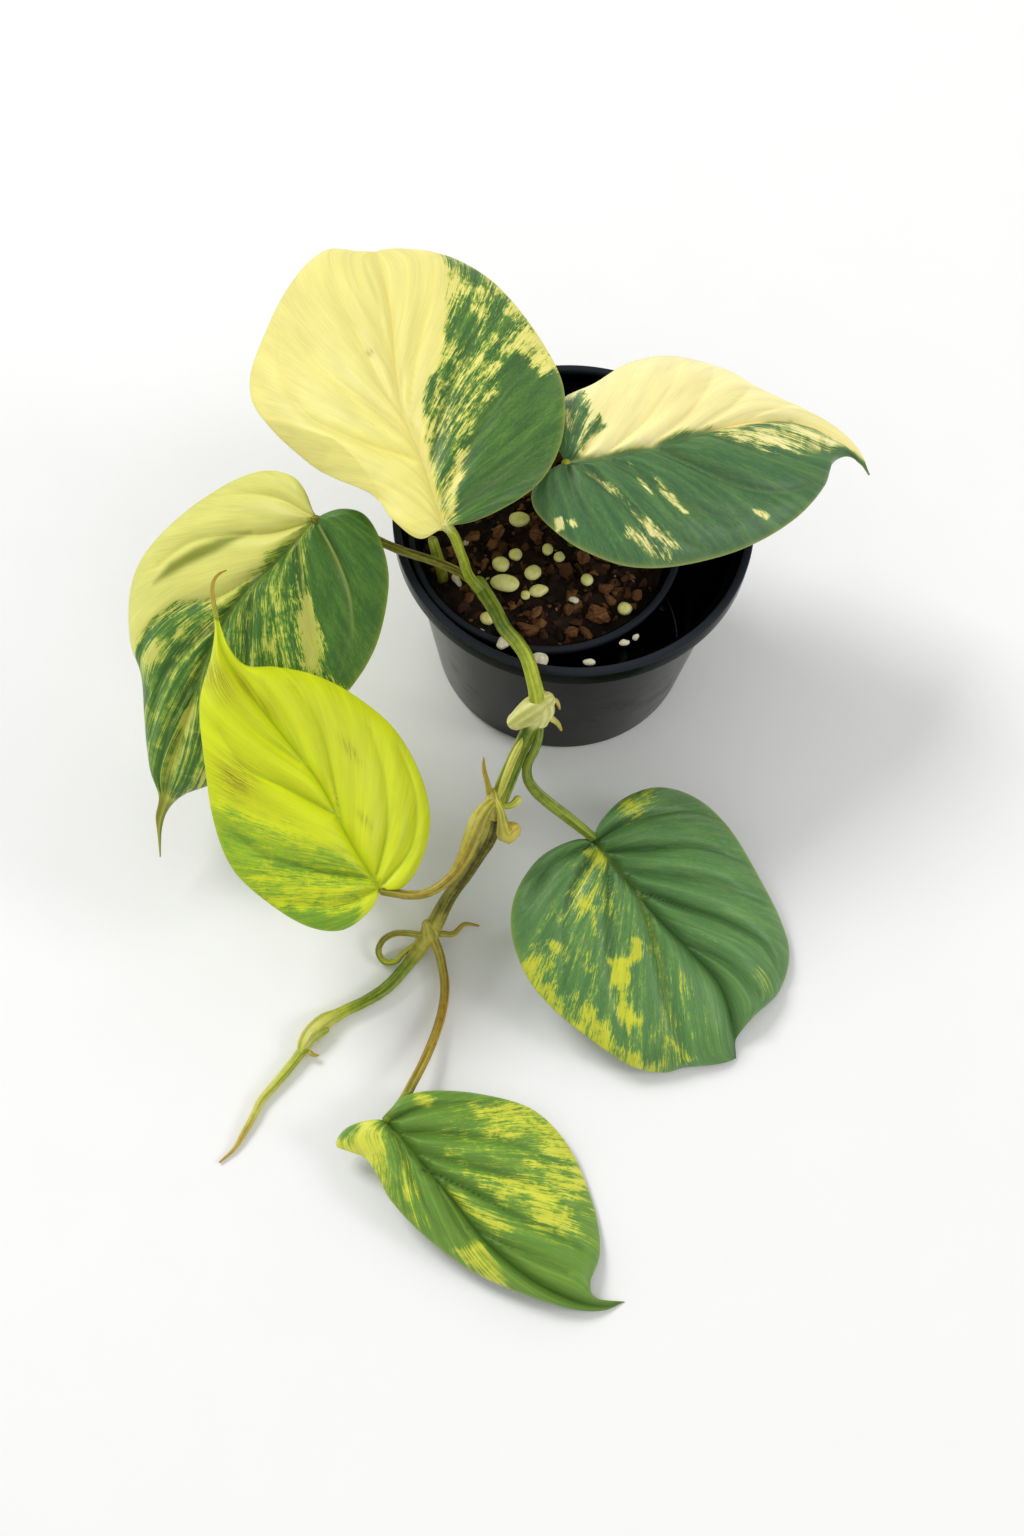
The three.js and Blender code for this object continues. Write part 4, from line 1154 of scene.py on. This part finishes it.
# %% Patches: (pale, broken, warm, softness in mm, outline)
# Pale is 0 for green and 1 for cream. Warm picks between the blade's two pale colours. The ground is what
# a blade has of these three where no patch lies.
GROUND = {"leaf_a": (0.46, 1.0, 0.6), "leaf_b": (0.36, 1.0, 0.4), "leaf_c": (0.02, 0.3, 0.0),
          "leaf_d": (0.02, 0.35, 0.3), "leaf_e": (1.0, 0.12, 0.0), "leaf_f": (0.04, 0.4, 0.3)}
PATCHES = {
    "leaf_a": [
        (1.0, 0.12, 0.0, 1.0, [(0, -6), (0, 7), (0, 26), (1, 33), (5, 45), (8, 47), (10, 51), (14, 65),
                               (15, 71), (19, 87), (18, 106), (-50, 120), (-60, -10)]),
        (1.0, 0.1, 0.9, 8.0, [(-4, -6), (-12, -4), (-20, 16), (-36, 34), (-14, 34), (-3, 26), (-1, 8)]),
        (0.0, 0.25, 0.0, 1.4, [(4, -3), (5, 8), (10, 18), (15, 31), (23, 38), (27, 50), (31, 52), (37, 44),
                               (41, 50), (48, 40), (42, 8), (20, -4)]),
        (0.78, 0.7, 0.7, 1.5, [(27, 53), (30, 59), (35, 64), (46, 62), (46, 50), (38, 45), (32, 53)]),
        (0.12, 0.8, 0.0, 1.6, [(20, 74), (24, 72), (23, 62), (20, 55), (14, 54), (16, 62)]),
        (0.12, 0.8, 0.0, 1.6, [(29, 70), (34, 68), (35, 64), (30, 60), (24, 56), (25, 64)]),
        (0.1, 0.8, 0.0, 1.6, [(22, 90), (28, 86), (30, 78), (25, 80)]),
        (0.28, 0.9, 0.2, 1.5, [(1, 26), (6, 29), (11, 25), (7, 17), (3, 12), (1, 5)]),
        (0.1, 0.6, 0.0, 1.2, [(2, 38), (5, 44), (7, 45), (6, 39), (3, 33)]),
        (0.95, 0.5, 0.8, 0.8, [(1.6, 3), (5, 13), (9, 21), (7, 12), (3, 3)]),
    ],
    "leaf_b": [
        (1.0, 0.22, 0.2, 1.6, [(0, -2), (7, -10), (17, -11), (34, 0), (46, 18), (52, 40), (46, 60), (34, 70),
                               (29, 68), (32, 61), (30, 53), (25, 43), (16, 37), (13, 35), (10, 27),
                               (7, 16), (3, 8)]),
        # Painted shadow: the olive lens under the fold of the pale half, in this blade's warm pale colour at
        # full strength.
        (1.0, 0.2, 1.0, 0.8, [(36, 43), (34, 35), (29, 27), (23, 20), (15, 13.5), (21, 23), (28, 32),
                              (32, 38)]),
        (0.03, 0.3, 0.0, 1.4, [(-1, 0), (-4, -8), (-17, -12), (-27, -4), (-35, 14), (-34, 38), (-25, 38),
                               (-21, 33), (-18, 27), (-12, 22), (-7, 18), (-4, 11)]),
        (0.8, 0.6, 0.5, 1.4, [(-8, 18), (-12, 22), (-17, 27), (-21, 33), (-22, 39), (-17, 38), (-13, 32),
                              (-9, 25)]),
        (0.3, 0.95, 0.3, 1.6, [(31, 70), (33, 61), (30, 53), (25, 44), (16, 37), (12, 43), (8, 54), (3, 67),
                                (-6, 86), (-1, 96), (5, 99), (13, 92), (21, 82)]),
        (0.85, 0.8, 0.4, 1.4, [(27, 65), (28, 59), (23, 54), (22, 60), (24, 65)]),
        (0.75, 0.9, 0.5, 1.4, [(5, 92), (7, 85), (7, 79), (9, 70), (7, 64), (4, 66), (5, 76), (4, 83)]),
        (0.9, 0.4, 0.9, 2.0, [(-4, 96), (6, 96), (4, 120), (-8, 120)]),
    ],
    "leaf_c": [
        (1.0, 0.12, 0.35, 1.2, [(-24, 2), (-36, 14), (-50, 40), (-48, 62), (-34, 74), (-24, 86), (-14, 98),
                                (-1, 99), (-7, 93), (-8, 87), (-12, 80), (-15, 73), (-14, 65), (-11, 56),
                                (-10, 44), (-9, 35), (-4, 26), (-3, 19), (-1, 9), (-1, 3), (-6, 1)]),
        (1.0, 0.1, 0.8, 7.0, [(-12, 20), (-30, 24), (-40, 44), (-26, 60), (-14, 50), (-10, 34)]),
        (0.58, 1.0, 0.3, 1.6, [(-10, 44), (-10, 55), (-13, 64), (-14, 72), (-11, 80), (-8, 87), (-4, 80),
                               (-2, 65), (-4, 54), (-6, 46)]),
        (0.3, 0.9, 0.0, 1.3, [(-20, 2), (-26, 10), (-17, 10), (-7, 7), (-2, 3), (-9, 2)]),
        (0.2, 0.7, 0.0, 0.9, [(-15, 12), (-10, 13), (-7, 8), (-3, 5), (-7, 6), (-11, 9)]),
        (0.1, 0.5, 0.0, 1.2, [(-3, -4), (-11, -4), (-16, 1), (-8, 3), (-2, 3)]),
        (0.62, 1.0, 0.5, 0.7, [(2, 3), (4, 7), (9, 12), (12, 14), (10, 10), (6, 6)]),
        (0.6, 1.0, 0.5, 1.0, [(12, 14), (17, 19), (22, 26), (26, 31), (26, 26), (23, 20), (18, 17)]),
        (0.7, 1.0, 0.5, 1.4, [(21, 14), (23, 20), (26, 28), (30, 28), (26, 19), (23, 13)]),
        (0.6, 1.0, 0.4, 0.6, [(1, 17), (6, 20), (12, 24), (12, 22), (7, 19)]),
        (0.6, 1.0, 0.4, 0.6, [(5, 23), (11, 28), (17, 33), (17, 31), (12, 26)]),
        (0.8, 0.7, 0.4, 0.5, [(16, -5), (16, -3), (19, -3), (19, -5)]),
        (0.8, 0.7, 0.4, 0.5, [(17, 0), (19, 1), (19, -1), (17, -2)]),
        (0.7, 0.9, 0.4, 0.6, [(15, 53), (17, 59), (18, 57), (17, 53)]),
    ],
    "leaf_d": [
        (0.14, 0.9, 0.2, 6.0, [(2, 6), (24, 10), (36, 26), (34, 52), (20, 70), (4, 66), (1, 36)]),
        (0.7, 0.7, 0.2, 1.4, [(5, 1), (0, 2), (-1, 7), (3, 10), (6, 7)]),
        (0.42, 1.0, 0.3, 2.0, [(10, 4), (2, 8), (6, 17), (12, 17), (17, 14)]),
        (0.62, 0.9, 0.3, 1.8, [(-9, 0), (-14, -5), (-27, -4), (-24, 0), (-18, 2), (-12, 1)]),
        (0.72, 0.8, 0.2, 1.1, [(15, 11), (12, 12), (13, 17), (16, 16), (17, 13)]),
        (0.7, 0.8, 0.2, 0.9, [(15, 19), (14, 20), (16, 25), (18, 24)]),
        (0.66, 0.9, 0.2, 1.1, [(29, 17), (25, 21), (27, 24), (30, 21)]),
        (0.7, 0.9, 0.4, 1.4, [(38, 18), (32, 16), (31, 21), (34, 28), (35, 34), (28, 40), (28, 51), (27, 58),
                               (20, 66), (24, 72), (36, 62), (44, 40), (42, 24)]),
        (0.82, 0.75, 0.2, 1.0, [(18, 31), (12, 34), (9, 30), (6, 32), (8, 37), (14, 37), (20, 46), (20, 51),
                                (25, 52), (24, 46), (21, 40)]),
        (0.66, 0.9, 0.2, 0.8, [(23, 29), (22, 31), (24, 33), (25, 31)]),
        (0.7, 0.8, 0.3, 1.0, [(15, 60), (13, 64), (12, 70), (16, 69)]),
        (0.3, 0.9, 0.2, 1.2, [(-8, 39), (-12, 45), (-9, 44)]),
        (0.32, 0.9, 0.2, 1.6, [(-16, 57), (-23, 58), (-22, 69), (-16, 67)]),
    ],
    "leaf_e": [
        (0.36, 0.34, 0.3, 4.6, [(1, 2), (0, 9), (-4, 17), (-11, 26), (-16, 34), (-20, 41), (-25, 48),
                                (-36, 40), (-38, 26), (-32, 12), (-22, 12), (-13, 9), (-5, 3)]),
        (0.58, 0.42, 0.4, 3.6, [(-2, 0), (-8, 6), (-15, 15), (-22, 24), (-26, 22), (-22, 12), (-14, 3)]),
        (0.1, 0.4, 0.0, 2.0, [(-30, 16), (-22, 9), (-16, 4), (-8, 0), (-12, -6), (-24, -2), (-34, 8)]),
        (1.0, 0.1, 1.0, 7.0, [(6, 12), (14, 12), (24, 30), (20, 48), (10, 60), (8, 36)]),
    ],
    "leaf_f": [
        (0.2, 0.85, 0.3, 5.0, [(-6, 16), (-20, 13), (-34, 26), (-36, 40), (-28, 56), (-14, 64), (-3, 50),
                               (1, 30)]),
        (0.62, 1.0, 0.3, 1.6, [(-20, 15), (-26, 21), (-33, 27), (-36, 36), (-33, 50), (-27, 53), (-24, 46),
                                (-25, 38), (-21, 30), (-16, 25), (-17, 18)]),
        (0.64, 1.0, 0.3, 1.5, [(-19, 37), (-25, 46), (-26, 53), (-22, 61), (-20, 53), (-17, 45)]),
        (0.66, 1.0, 0.3, 1.5, [(-13, 41), (-17, 51), (-16, 57), (-13, 61), (-8, 55), (-6, 48), (-10, 44)]),
        (0.6, 1.0, 0.3, 1.2, [(-4, 27), (-9, 36), (-14, 40), (-8, 44), (-5, 40), (-4, 32)]),
        (0.66, 0.95, 0.3, 1.2, [(3, 24), (1, 31), (-1, 41), (0, 47), (3, 45), (4, 33)]),
        (0.72, 0.9, 0.3, 1.1, [(9, 40), (7, 44), (9, 51), (11, 57), (14, 52), (13, 44)]),
        (0.7, 0.8, 0.3, 0.9, [(14, 38), (11, 41), (13, 46)]),
        (0.34, 0.9, 0.3, 1.5, [(1, 1), (4, 13), (9, 21), (14, 29), (19, 20), (14, 8), (6, 3)]),
        (0.6, 0.9, 0.3, 1.0, [(-12, 0), (-14, 6), (-11, 7), (-9, 3)]),
        (0.8, 0.7, 0.5, 1.4, [(1, -2), (4, -6), (12, -9), (20, -6), (18, 6), (10, 8), (4, 2)]),
        (0.15, 0.7, 0.0, 1.2, [(7, -8), (12, -8), (12, -3), (7, -3.5)]),
    ],
}
# Bruises and spots: (across, along, half width, half length)
SPOTS = {"leaf_a": [(-9, 58, 1.2, 1.3)],
         "leaf_e": [(1, 68, 1.6, 6), (3, 60, 1.4, 5), (-16, 48, 5, 7), (15, 37, 1.2, 4), (7, 19, 1.2, 3),
                    (-4, 74, 4, 8)]}

# %% [markdown]
# ## How far from a line, how far inside a patch
#
# Both the relief and the marbling rest on one question: how far is this point of the blade from that line?
# For a vein the distance sets the depth of its groove. For a patch it is measured to the outline, positive
# inside and negative outside, and then turned into a soft edge.

# %% Distances on the flat blade
def distance_to_line(points, line):
    """For each point, the distance to the line and how far along it the nearest place is, from 0 to 1."""
    start, step = line[:-1, :2], np.diff(line[:, :2], axis=0)
    reach = points[:, None] - start
    share = np.clip((reach * step).sum(-1) / np.maximum((step * step).sum(-1), 1e-9), 0, 1)
    gap = np.linalg.norm(reach - share[..., None] * step, axis=-1)
    nearest = gap.argmin(axis=1)
    rows = np.arange(len(points))
    return gap[rows, nearest], (nearest + share[rows, nearest]) / len(step)


def depth_inside(points, outline):
    """Distance to a closed outline: positive inside it and negative outside."""
    ring = np.array(outline, float)
    ring = np.vstack([ring, ring[:1]])
    gap, _ = distance_to_line(points, ring)
    (x0, y0), (x1, y1) = ring[:-1].T, ring[1:].T
    x, y = points[:, :1], points[:, 1:2]
    spans = (y0 > y) != (y1 > y)
    crossing = x < (x1 - x0) * (y - y0) / np.where(y1 == y0, 1, y1 - y0) + x0
    inside = (spans & crossing).sum(axis=1) % 2 == 1
    return np.where(inside, gap, -gap)


def soft_step(value, softness):
    """0 well outside an outline and 1 well inside it, with a smooth edge this many millimetres wide or so."""
    t = np.clip(0.5 + value / (2 * softness), 0, 1)
    return t * t * (3 - 2 * t)


# %% [markdown]
# ## Shaping a blade
#
# The blade is a grid. Each row starts at the midrib and runs out to the margin, much as a side vein does.
# Lift is how far a point stands above the smooth blade: grooves along the veins, quilting between them, a
# gentle wave and a rolled edge at the margin. The underside is the same grid a little lower, thicker under
# the midrib, where the real leaf has a rib.

# %% Relief of each blade
# Groove and quilting are in millimetres. Wave is (height in mm, number of waves, phase).
RELIEF = {
    "leaf_a": dict(groove=0.7, quilt=1.5, wave=(1.2, 2.6, 1.0), roll=1.0),
    "leaf_b": dict(groove=1.1, quilt=2.1, wave=(1.2, 2.2, 0.4), roll=1.2),
    "leaf_c": dict(groove=1.1, quilt=1.9, wave=(1.0, 2.4, 2.0), roll=1.6),
    "leaf_d": dict(groove=1.3, quilt=2.9, wave=(0.9, 3.0, 0.0), roll=2.0),
    "leaf_e": dict(groove=1.0, quilt=2.1, wave=(0.8, 2.0, 1.0), roll=1.4),
    "leaf_f": dict(groove=1.3, quilt=2.6, wave=(1.0, 2.2, 2.4), roll=1.4),
}
# Margins that fold over: the blade falls away inside this outline, by so many mm for each mm.
FOLDS = {
    "leaf_a": (0.85, [(-42, 48), (-32, 39), (-24, 32), (-20, 25), (-17, 18), (-15, 12), (-30, -10),
                      (-60, 10), (-56, 50)]),
}
ROWS, COLUMNS = 210, 62
THICKNESS = 0.42
SWELL_REACH = 7  # the quilting has risen fully this far from the nearest vein
RIM_POWER = 70  # how narrow the pale rim is: the higher, the narrower
VEIN_SWEEP = 0.36  # how far up the margin, as a share of it, a vein has run when it gets there
FLOW_LENGTH, FLOW_APART = 110, 300  # the flow's own length of a blade, and how far apart its halves are


def flat_grid(blade):
    """Flat points of a blade, row by row from left margin to right, with their row and column shares."""
    def edge(points):
        return smooth_line([(0, 0), *points, blade["tip"]], even=0)
    rows = np.linspace(0, 1, ROWS + 1)
    # Rows start closer together near the base, so that they sweep towards the tip as side veins do.
    spine = along(edge(blade["spine"]), rows**1.5)
    margins = [along(edge(blade[side]), rows) for side in ("left", "right")]
    out = 1 - np.linspace(1, 0, COLUMNS + 1)**1.2
    halves = [spine[:, None] + (margin - spine)[:, None] * out[None, :, None] for margin in margins]
    flat = np.concatenate([halves[0][:, :0:-1], halves[1]], axis=1)
    row_share = np.repeat(rows[:, None], 2 * COLUMNS + 1, 1)
    out_share = np.repeat(np.concatenate([-out[:0:-1], out])[None], ROWS + 1, 0)
    reach = np.linalg.norm(flat - spine[:, None], axis=-1)
    return flat.reshape(-1, 2), row_share.ravel(), out_share.ravel(), reach.ravel(), edge(blade["spine"])


# %% Lift of each point
def closeness(gap, width):
    """1 on a line and falling smoothly away from it, over about this width."""
    return np.exp(-(gap / width)**2)


def blade_relief(name, flat, row_share, out_share, spine):
    """Lift in mm, closeness to a vein, height on the swelling between veins, and the gap to the midrib and
    share along it."""
    relief = RELIEF[name]
    groove = np.zeros(len(flat))
    nearest = np.full(len(flat), np.inf)
    veins = np.zeros(len(flat))
    for strength, points in VEINS[name]:
        line = smooth_line(points, parts=5)
        gap, share = distance_to_line(flat, line)
        fade = strength * (1 - 0.75 * share)
        groove = np.maximum(groove, fade * (0.6 * closeness(gap, 1.6) + 0.5 * closeness(gap, 0.6)))
        veins = np.maximum(veins, fade * closeness(gap, 0.4))
        nearest = np.minimum(nearest, gap + 2.5 * share)
    gap, share = distance_to_line(flat, spine)
    groove = np.maximum(groove, 1.3 * (1 - 0.6 * share) * closeness(gap, 1.3))
    veins = np.maximum(veins, 1.2 * (1 - 0.5 * share) * closeness(gap, 0.5))
    nearest = np.minimum(nearest, gap)
    out = np.abs(out_share)
    # The relief dies away at the very base and at the tip.
    ends = np.clip(row_share * 12, 0, 1) * np.clip((1 - row_share) * 8, 0, 1)
    swell = np.minimum(nearest, SWELL_REACH) / SWELL_REACH
    hump = swell * (2 - swell)
    quilt = relief["quilt"] * hump * (1 - out**3) * ends
    height, count, phase = relief["wave"]
    wave = height * out**3 * np.sin(2 * np.pi * count * row_share + phase + np.sign(out_share)) * ends
    roll = relief["roll"] * out**8 * ends
    lift = quilt - relief["groove"] * groove + wave - roll
    flat3 = np.column_stack([flat, 0 * flat[:, 0]])
    lift += (0.35 * lumps(flat3, 14, 5) + 0.1 * lumps(flat3, 4, 6)) * ends
    if name in FOLDS:
        slope, outline = FOLDS[name]
        lift -= slope * np.maximum(depth_inside(flat, outline) + 0.6, 0)
    return lift, veins, hump, gap, share


# %% Set a blade in space
def blade_setter(blade):
    """A function that takes flat points and their lift to points in space."""
    heading, pitch, bank = (math.radians(blade[k]) for k in ("heading", "pitch", "bank"))
    forward = np.array([math.cos(heading) * math.cos(pitch), math.sin(heading) * math.cos(pitch),
                        math.sin(pitch)])
    level = np.cross(forward, (0, 0, 1))
    level /= np.linalg.norm(level)
    right = level * math.cos(bank) + np.cross(forward, level) * math.sin(bank)
    up = np.cross(right, forward)
    curving = math.radians(blade["bend"]) / blade["length"]

    def set_in_space(flat, lift):
        across, turned = flat[:, 0], curving * flat[:, 1]
        share = np.abs(across) / DROOP_WIDTH
        lift = lift - np.where(across > 0, blade["droop"][1], blade["droop"][0]) * share**2
        ahead = np.sin(turned) / curving + lift * np.sin(turned)
        above = (np.cos(turned) - 1) / curving + lift * np.cos(turned)
        from_base = across[:, None] * right + ahead[:, None] * forward + above[:, None] * up
        return np.array(blade["base"]) + from_base
    return set_in_space


# %% [markdown]
# ## Values that the leaf finish reads
#
# Besides its shape, each blade carries a handful of values: how pale and how broken it is, how warm its pale
# colour is, how near a vein or the margin, how high on the swelling between veins, any bruise, and whether
# it is the underside. Two directions go with them: plain flat millimetres for even noise, and a "flow" whose
# second part changes little along a side vein, which is what makes the streaks run from midrib to margin.

# %% Build a blade
EDGE_BLUR, EDGE_BREAK = 1.6, 0.4  # how soft, and how much more broken, a patch is along its outline


def variegation(name, flat, to_spine):
    """Pale, broken and warm at each flat point. Patch outlines stay clean close to the midrib."""
    edge_break = EDGE_BREAK * np.clip((to_spine - 1) / 6, 0.1, 1)[:, None]
    state = np.repeat(np.array(GROUND[name])[None], len(flat), 0)
    for pale, broken, warm, softness, outline in PATCHES[name]:
        cover = soft_step(depth_inside(flat, outline), softness * EDGE_BLUR)[:, None]
        state = state * (1 - cover) + cover * np.array((pale, broken, warm))
        state[:, 1:2] += edge_break * 4 * cover * (1 - cover)
    return state.T


def blade_shape(name):
    """The whole blade: its upper side, its underside, and the thin wall round the margin."""
    blade = BLADES[name]
    flat, row_share, out_share, reach, spine = flat_grid(blade)
    lift, veins, hump, to_spine, spine_share = blade_relief(name, flat, row_share, out_share, spine)
    set_in_space = blade_setter(blade)
    rib = 1.1 * (1 - 0.8 * spine_share) * closeness(to_spine, 1.1)
    margin = np.clip((1 - np.abs(out_share)) * 12, 0, 1)
    under = lift - THICKNESS * (0.45 + 0.55 * margin) - rib * margin
    top, bottom = set_in_space(flat, lift), set_in_space(flat, under)
    bruise = np.zeros(len(flat))
    for across, up_blade, *radii in SPOTS.get(name, []):
        gap = np.linalg.norm((flat - (across, up_blade)) / radii, axis=1)
        bruise = np.maximum(bruise, closeness(gap, 1))
    pale, broken, warm = variegation(name, flat, to_spine)
    pale_line = np.zeros(len(flat))
    for strength, points in PALE_LINES[name]:
        gap, share = distance_to_line(flat, smooth_line(points, parts=5))
        pale_line = np.maximum(pale_line, strength * (1 - share**2) * closeness(gap, 0.4))
    swept = row_share - VEIN_SWEEP * np.abs(out_share)**0.6
    flow = np.stack([reach, swept * FLOW_LENGTH + np.sign(out_share) * FLOW_APART, 0 * reach], -1)
    values = dict(pale=pale, broken=broken, warm=warm, vein=np.clip(veins, 0, 1), bruise=bruise, hump=hump,
                  pale_line=pale_line, edge=np.abs(out_share)**RIM_POWER, flow=flow,
                  flat=np.column_stack([flat, 0 * reach]))
    width, count = 2 * COLUMNS + 1, len(flat)
    faces = grid_faces(ROWS + 1, width, flip=True).tolist()
    faces += (grid_faces(ROWS + 1, width) + count).tolist()
    for row in range(ROWS):
        left, right = row * width, row * width + width - 1
        faces.append([left, left + width, left + width + count, left + count])
        faces.append([right, right + count, right + width + count, right + width])
    doubled = {key: np.concatenate([v, v]) for key, v in values.items()}
    doubled["underside"] = np.repeat([0.0, 1.0], count)
    return shape(np.vstack([top, bottom]), faces, **doubled)


# %% [markdown]
# ## The leaf finish
#
# The colour starts from the pale value. Streaks of three sizes push it up and down, more where the blade is
# broken, and a short scale turns the sum into deep green, mid green, yellow-green or cream. So a streak's
# edge has the in-between tint that a real one has. Then come the fine lines of the skin, the veins, a pale
# rim, bruises, and a greyer underside. The gloss is a soft wax, uneven over the surface.

# %% Leaf paints
# Deep green, mid green, yellow-green, pale, warm pale, veins in the green, veins in the pale
LEAF_PAINTS = {
    "leaf_a": [(56, 96, 42), (106, 144, 60), (208, 212, 84), (238, 228, 134), (243, 234, 128), (118, 150, 84),
               (226, 208, 108)],
    # Leaf B's warm pale is a dark olive. Mixed in a little, it tints the pale half. At full strength, in the
    # lens under the fold, it is painted shadow.
    "leaf_b": [(56, 100, 36), (104, 144, 50), (192, 204, 66), (240, 238, 128), (134, 142, 38), (132, 164, 92),
               (196, 198, 84)],
    "leaf_c": [(62, 102, 62), (104, 142, 76), (214, 212, 108), (255, 250, 176), (255, 238, 162),
               (124, 156, 102), (236, 208, 132)],
    "leaf_d": [(78, 122, 66), (116, 156, 78), (184, 198, 54), (212, 214, 52), (218, 220, 78), (56, 94, 50),
               (152, 172, 50)],
    "leaf_e": [(110, 154, 42), (152, 184, 38), (196, 212, 38), (214, 227, 26), (216, 226, 50), (92, 134, 34),
               (150, 172, 20)],
    "leaf_f": [(94, 136, 52), (134, 168, 58), (194, 206, 60), (220, 224, 68), (224, 226, 90), (54, 88, 36),
               (150, 170, 60)],
}


# %% Leaf finish
def leaf_finish(name):
    mix = Finish(f"{name}_marbling")
    deep, middle, yellow, pale, warm, vein_green, vein_pale = (paint(*c) for c in LEAF_PAINTS[name])
    broad = mix.streaks(0.07, 0.34, 3.0, 0.6, 0.4)
    streaks = mix.streaks(0.22, 1.3, 4.0, 0.7, 0.3)
    brushed = mix.streaks(0.7, 4.2, 3.0, 0.7)
    blots = mix.noise(mix.vector("flat"), 0.16, 4.0, 0.65, 0.6)
    unrest = mix.sum(mix.sum(mix.swing(broad, 0.9), mix.swing(streaks, 1.0)),
                     mix.sum(mix.swing(blots, 0.7), mix.swing(brushed, 0.8)))
    paleness = mix.sum(mix.value("pale"), mix.times(unrest, mix.value("broken")))
    cream = mix.blend(mix.value("warm"), pale, warm)
    ghost = mix.ease(mix.sum(broad, mix.swing(brushed, 0.5)), 0.3, 0.85)
    ground = mix.blend(mix.times(ghost, 0.75), deep, middle)
    green = mix.blend(mix.ease(paleness, 0.2, 0.44), ground, middle)
    green = mix.blend(mix.ease(paleness, 0.42, 0.64), green, yellow)
    colour = mix.blend(mix.ease(paleness, 0.56, 0.82), green, cream)
    hair = mix.streaks(0.12, 4.4, 3.0, 0.7)
    cloud = mix.streaks(0.05, 0.12, 2.0)
    tone = mix.ease(mix.sum(mix.swing(hair, 0.6), mix.swing(cloud, 0.5)), -0.4, 0.4, 0.84, 1.13)
    greenness = mix.ease(paleness, 0.7, 0.3)
    # Painted shade and light: the green is darkened in the grooves along the veins and lightened on the
    # swellings between them.
    painted_relief_shade = mix.ease(mix.value("hump"), 0.0, 1.0, -0.16, 0.16)
    tone = mix.times(tone, mix.sum(1.0, mix.times(greenness, painted_relief_shade)))
    grey = mix.add("ShaderNodeCombineColor", {0: tone, 1: tone, 2: tone})
    colour = mix.blend(1.0, colour, grey, "MULTIPLY")
    fleck = mix.times(mix.ease(mix.streaks(0.3, 2.2, 2.0), 0.64, 0.72), 0.4)
    colour = mix.blend(mix.times(fleck, mix.value("broken")), colour, yellow)
    vein_tint = mix.blend(mix.ease(mix.value("pale"), 0.3, 0.8), vein_green, vein_pale)
    colour = mix.blend(mix.times(mix.value("vein"), 0.7), colour, vein_tint)
    colour = mix.blend(mix.times(mix.value("pale_line"), 0.55), colour, mix.blend(0.6, middle, pale))
    colour = mix.blend(mix.times(mix.value("edge"), 0.4), colour, yellow)
    wear_and_lip_highlight = mix.times(mix.value("bruise"), mix.ease(mix.sum(streaks, mix.swing(brushed, 0.3)), 0.36, 0.66))
    colour = mix.blend(mix.times(wear_and_lip_highlight, 0.75), colour, paint(122, 92, 30))
    colour = mix.blend(mix.times(mix.value("underside"), 0.35), colour, paint(160, 182, 128))
    cells = mix.noise(mix.vector("flat"), 1.6, 2.0, 0.5)
    mix.bump(mix.sum(mix.times(hair, 0.7), mix.times(cells, 0.4)), 0.1, 0.5)
    rough = mix.sum(0.33, mix.times(hair, 0.16))
    return mix.finish(Base_Color=colour, Roughness=rough, Specular_IOR_Level=0.34)


# %% Make the leaves
for leaf_name in BLADES:
    leaf = make_piece(f"{leaf_name}_blade", blade_shape(leaf_name), leaf_finish(leaf_name),
                      [leaf_name], crease=70, merge=0.01)
    print(leaf.name, "has", len(leaf.data.polygons), "faces.")

# %% [markdown]
# ## A dried drip tip
#
# The drip tip of leaf E has dried to a thin golden hook that curls up off the blade. It is too fine for the
# blade's grid, so it is a small stalk of its own, and it starts inside the tip.

# %% Drip tip of leaf E
DRIP_CURL = [(-97.6, -44.4, 78.9, 0.7), (-98.7, -40.6, 80.7, 0.7), (-99.3, -37.2, 81.7, 0.6),
             (-99.1, -34.6, 82.2, 0.5), (-97.9, -32.5, 82.2, 0.4), (-96.2, -31.0, 81.7, 0.2)]
drip_tip = stalk_shape(DRIP_CURL, {0: LIME, 1: TAN, 5: AMBER}, seed=41)
make_piece("leaf_e_drip_tip", drip_tip, dry_skin, merge=0.004)
print("The drip tip is", round(distance_run(np.array(DRIP_CURL))[-1], 1), "mm long.")
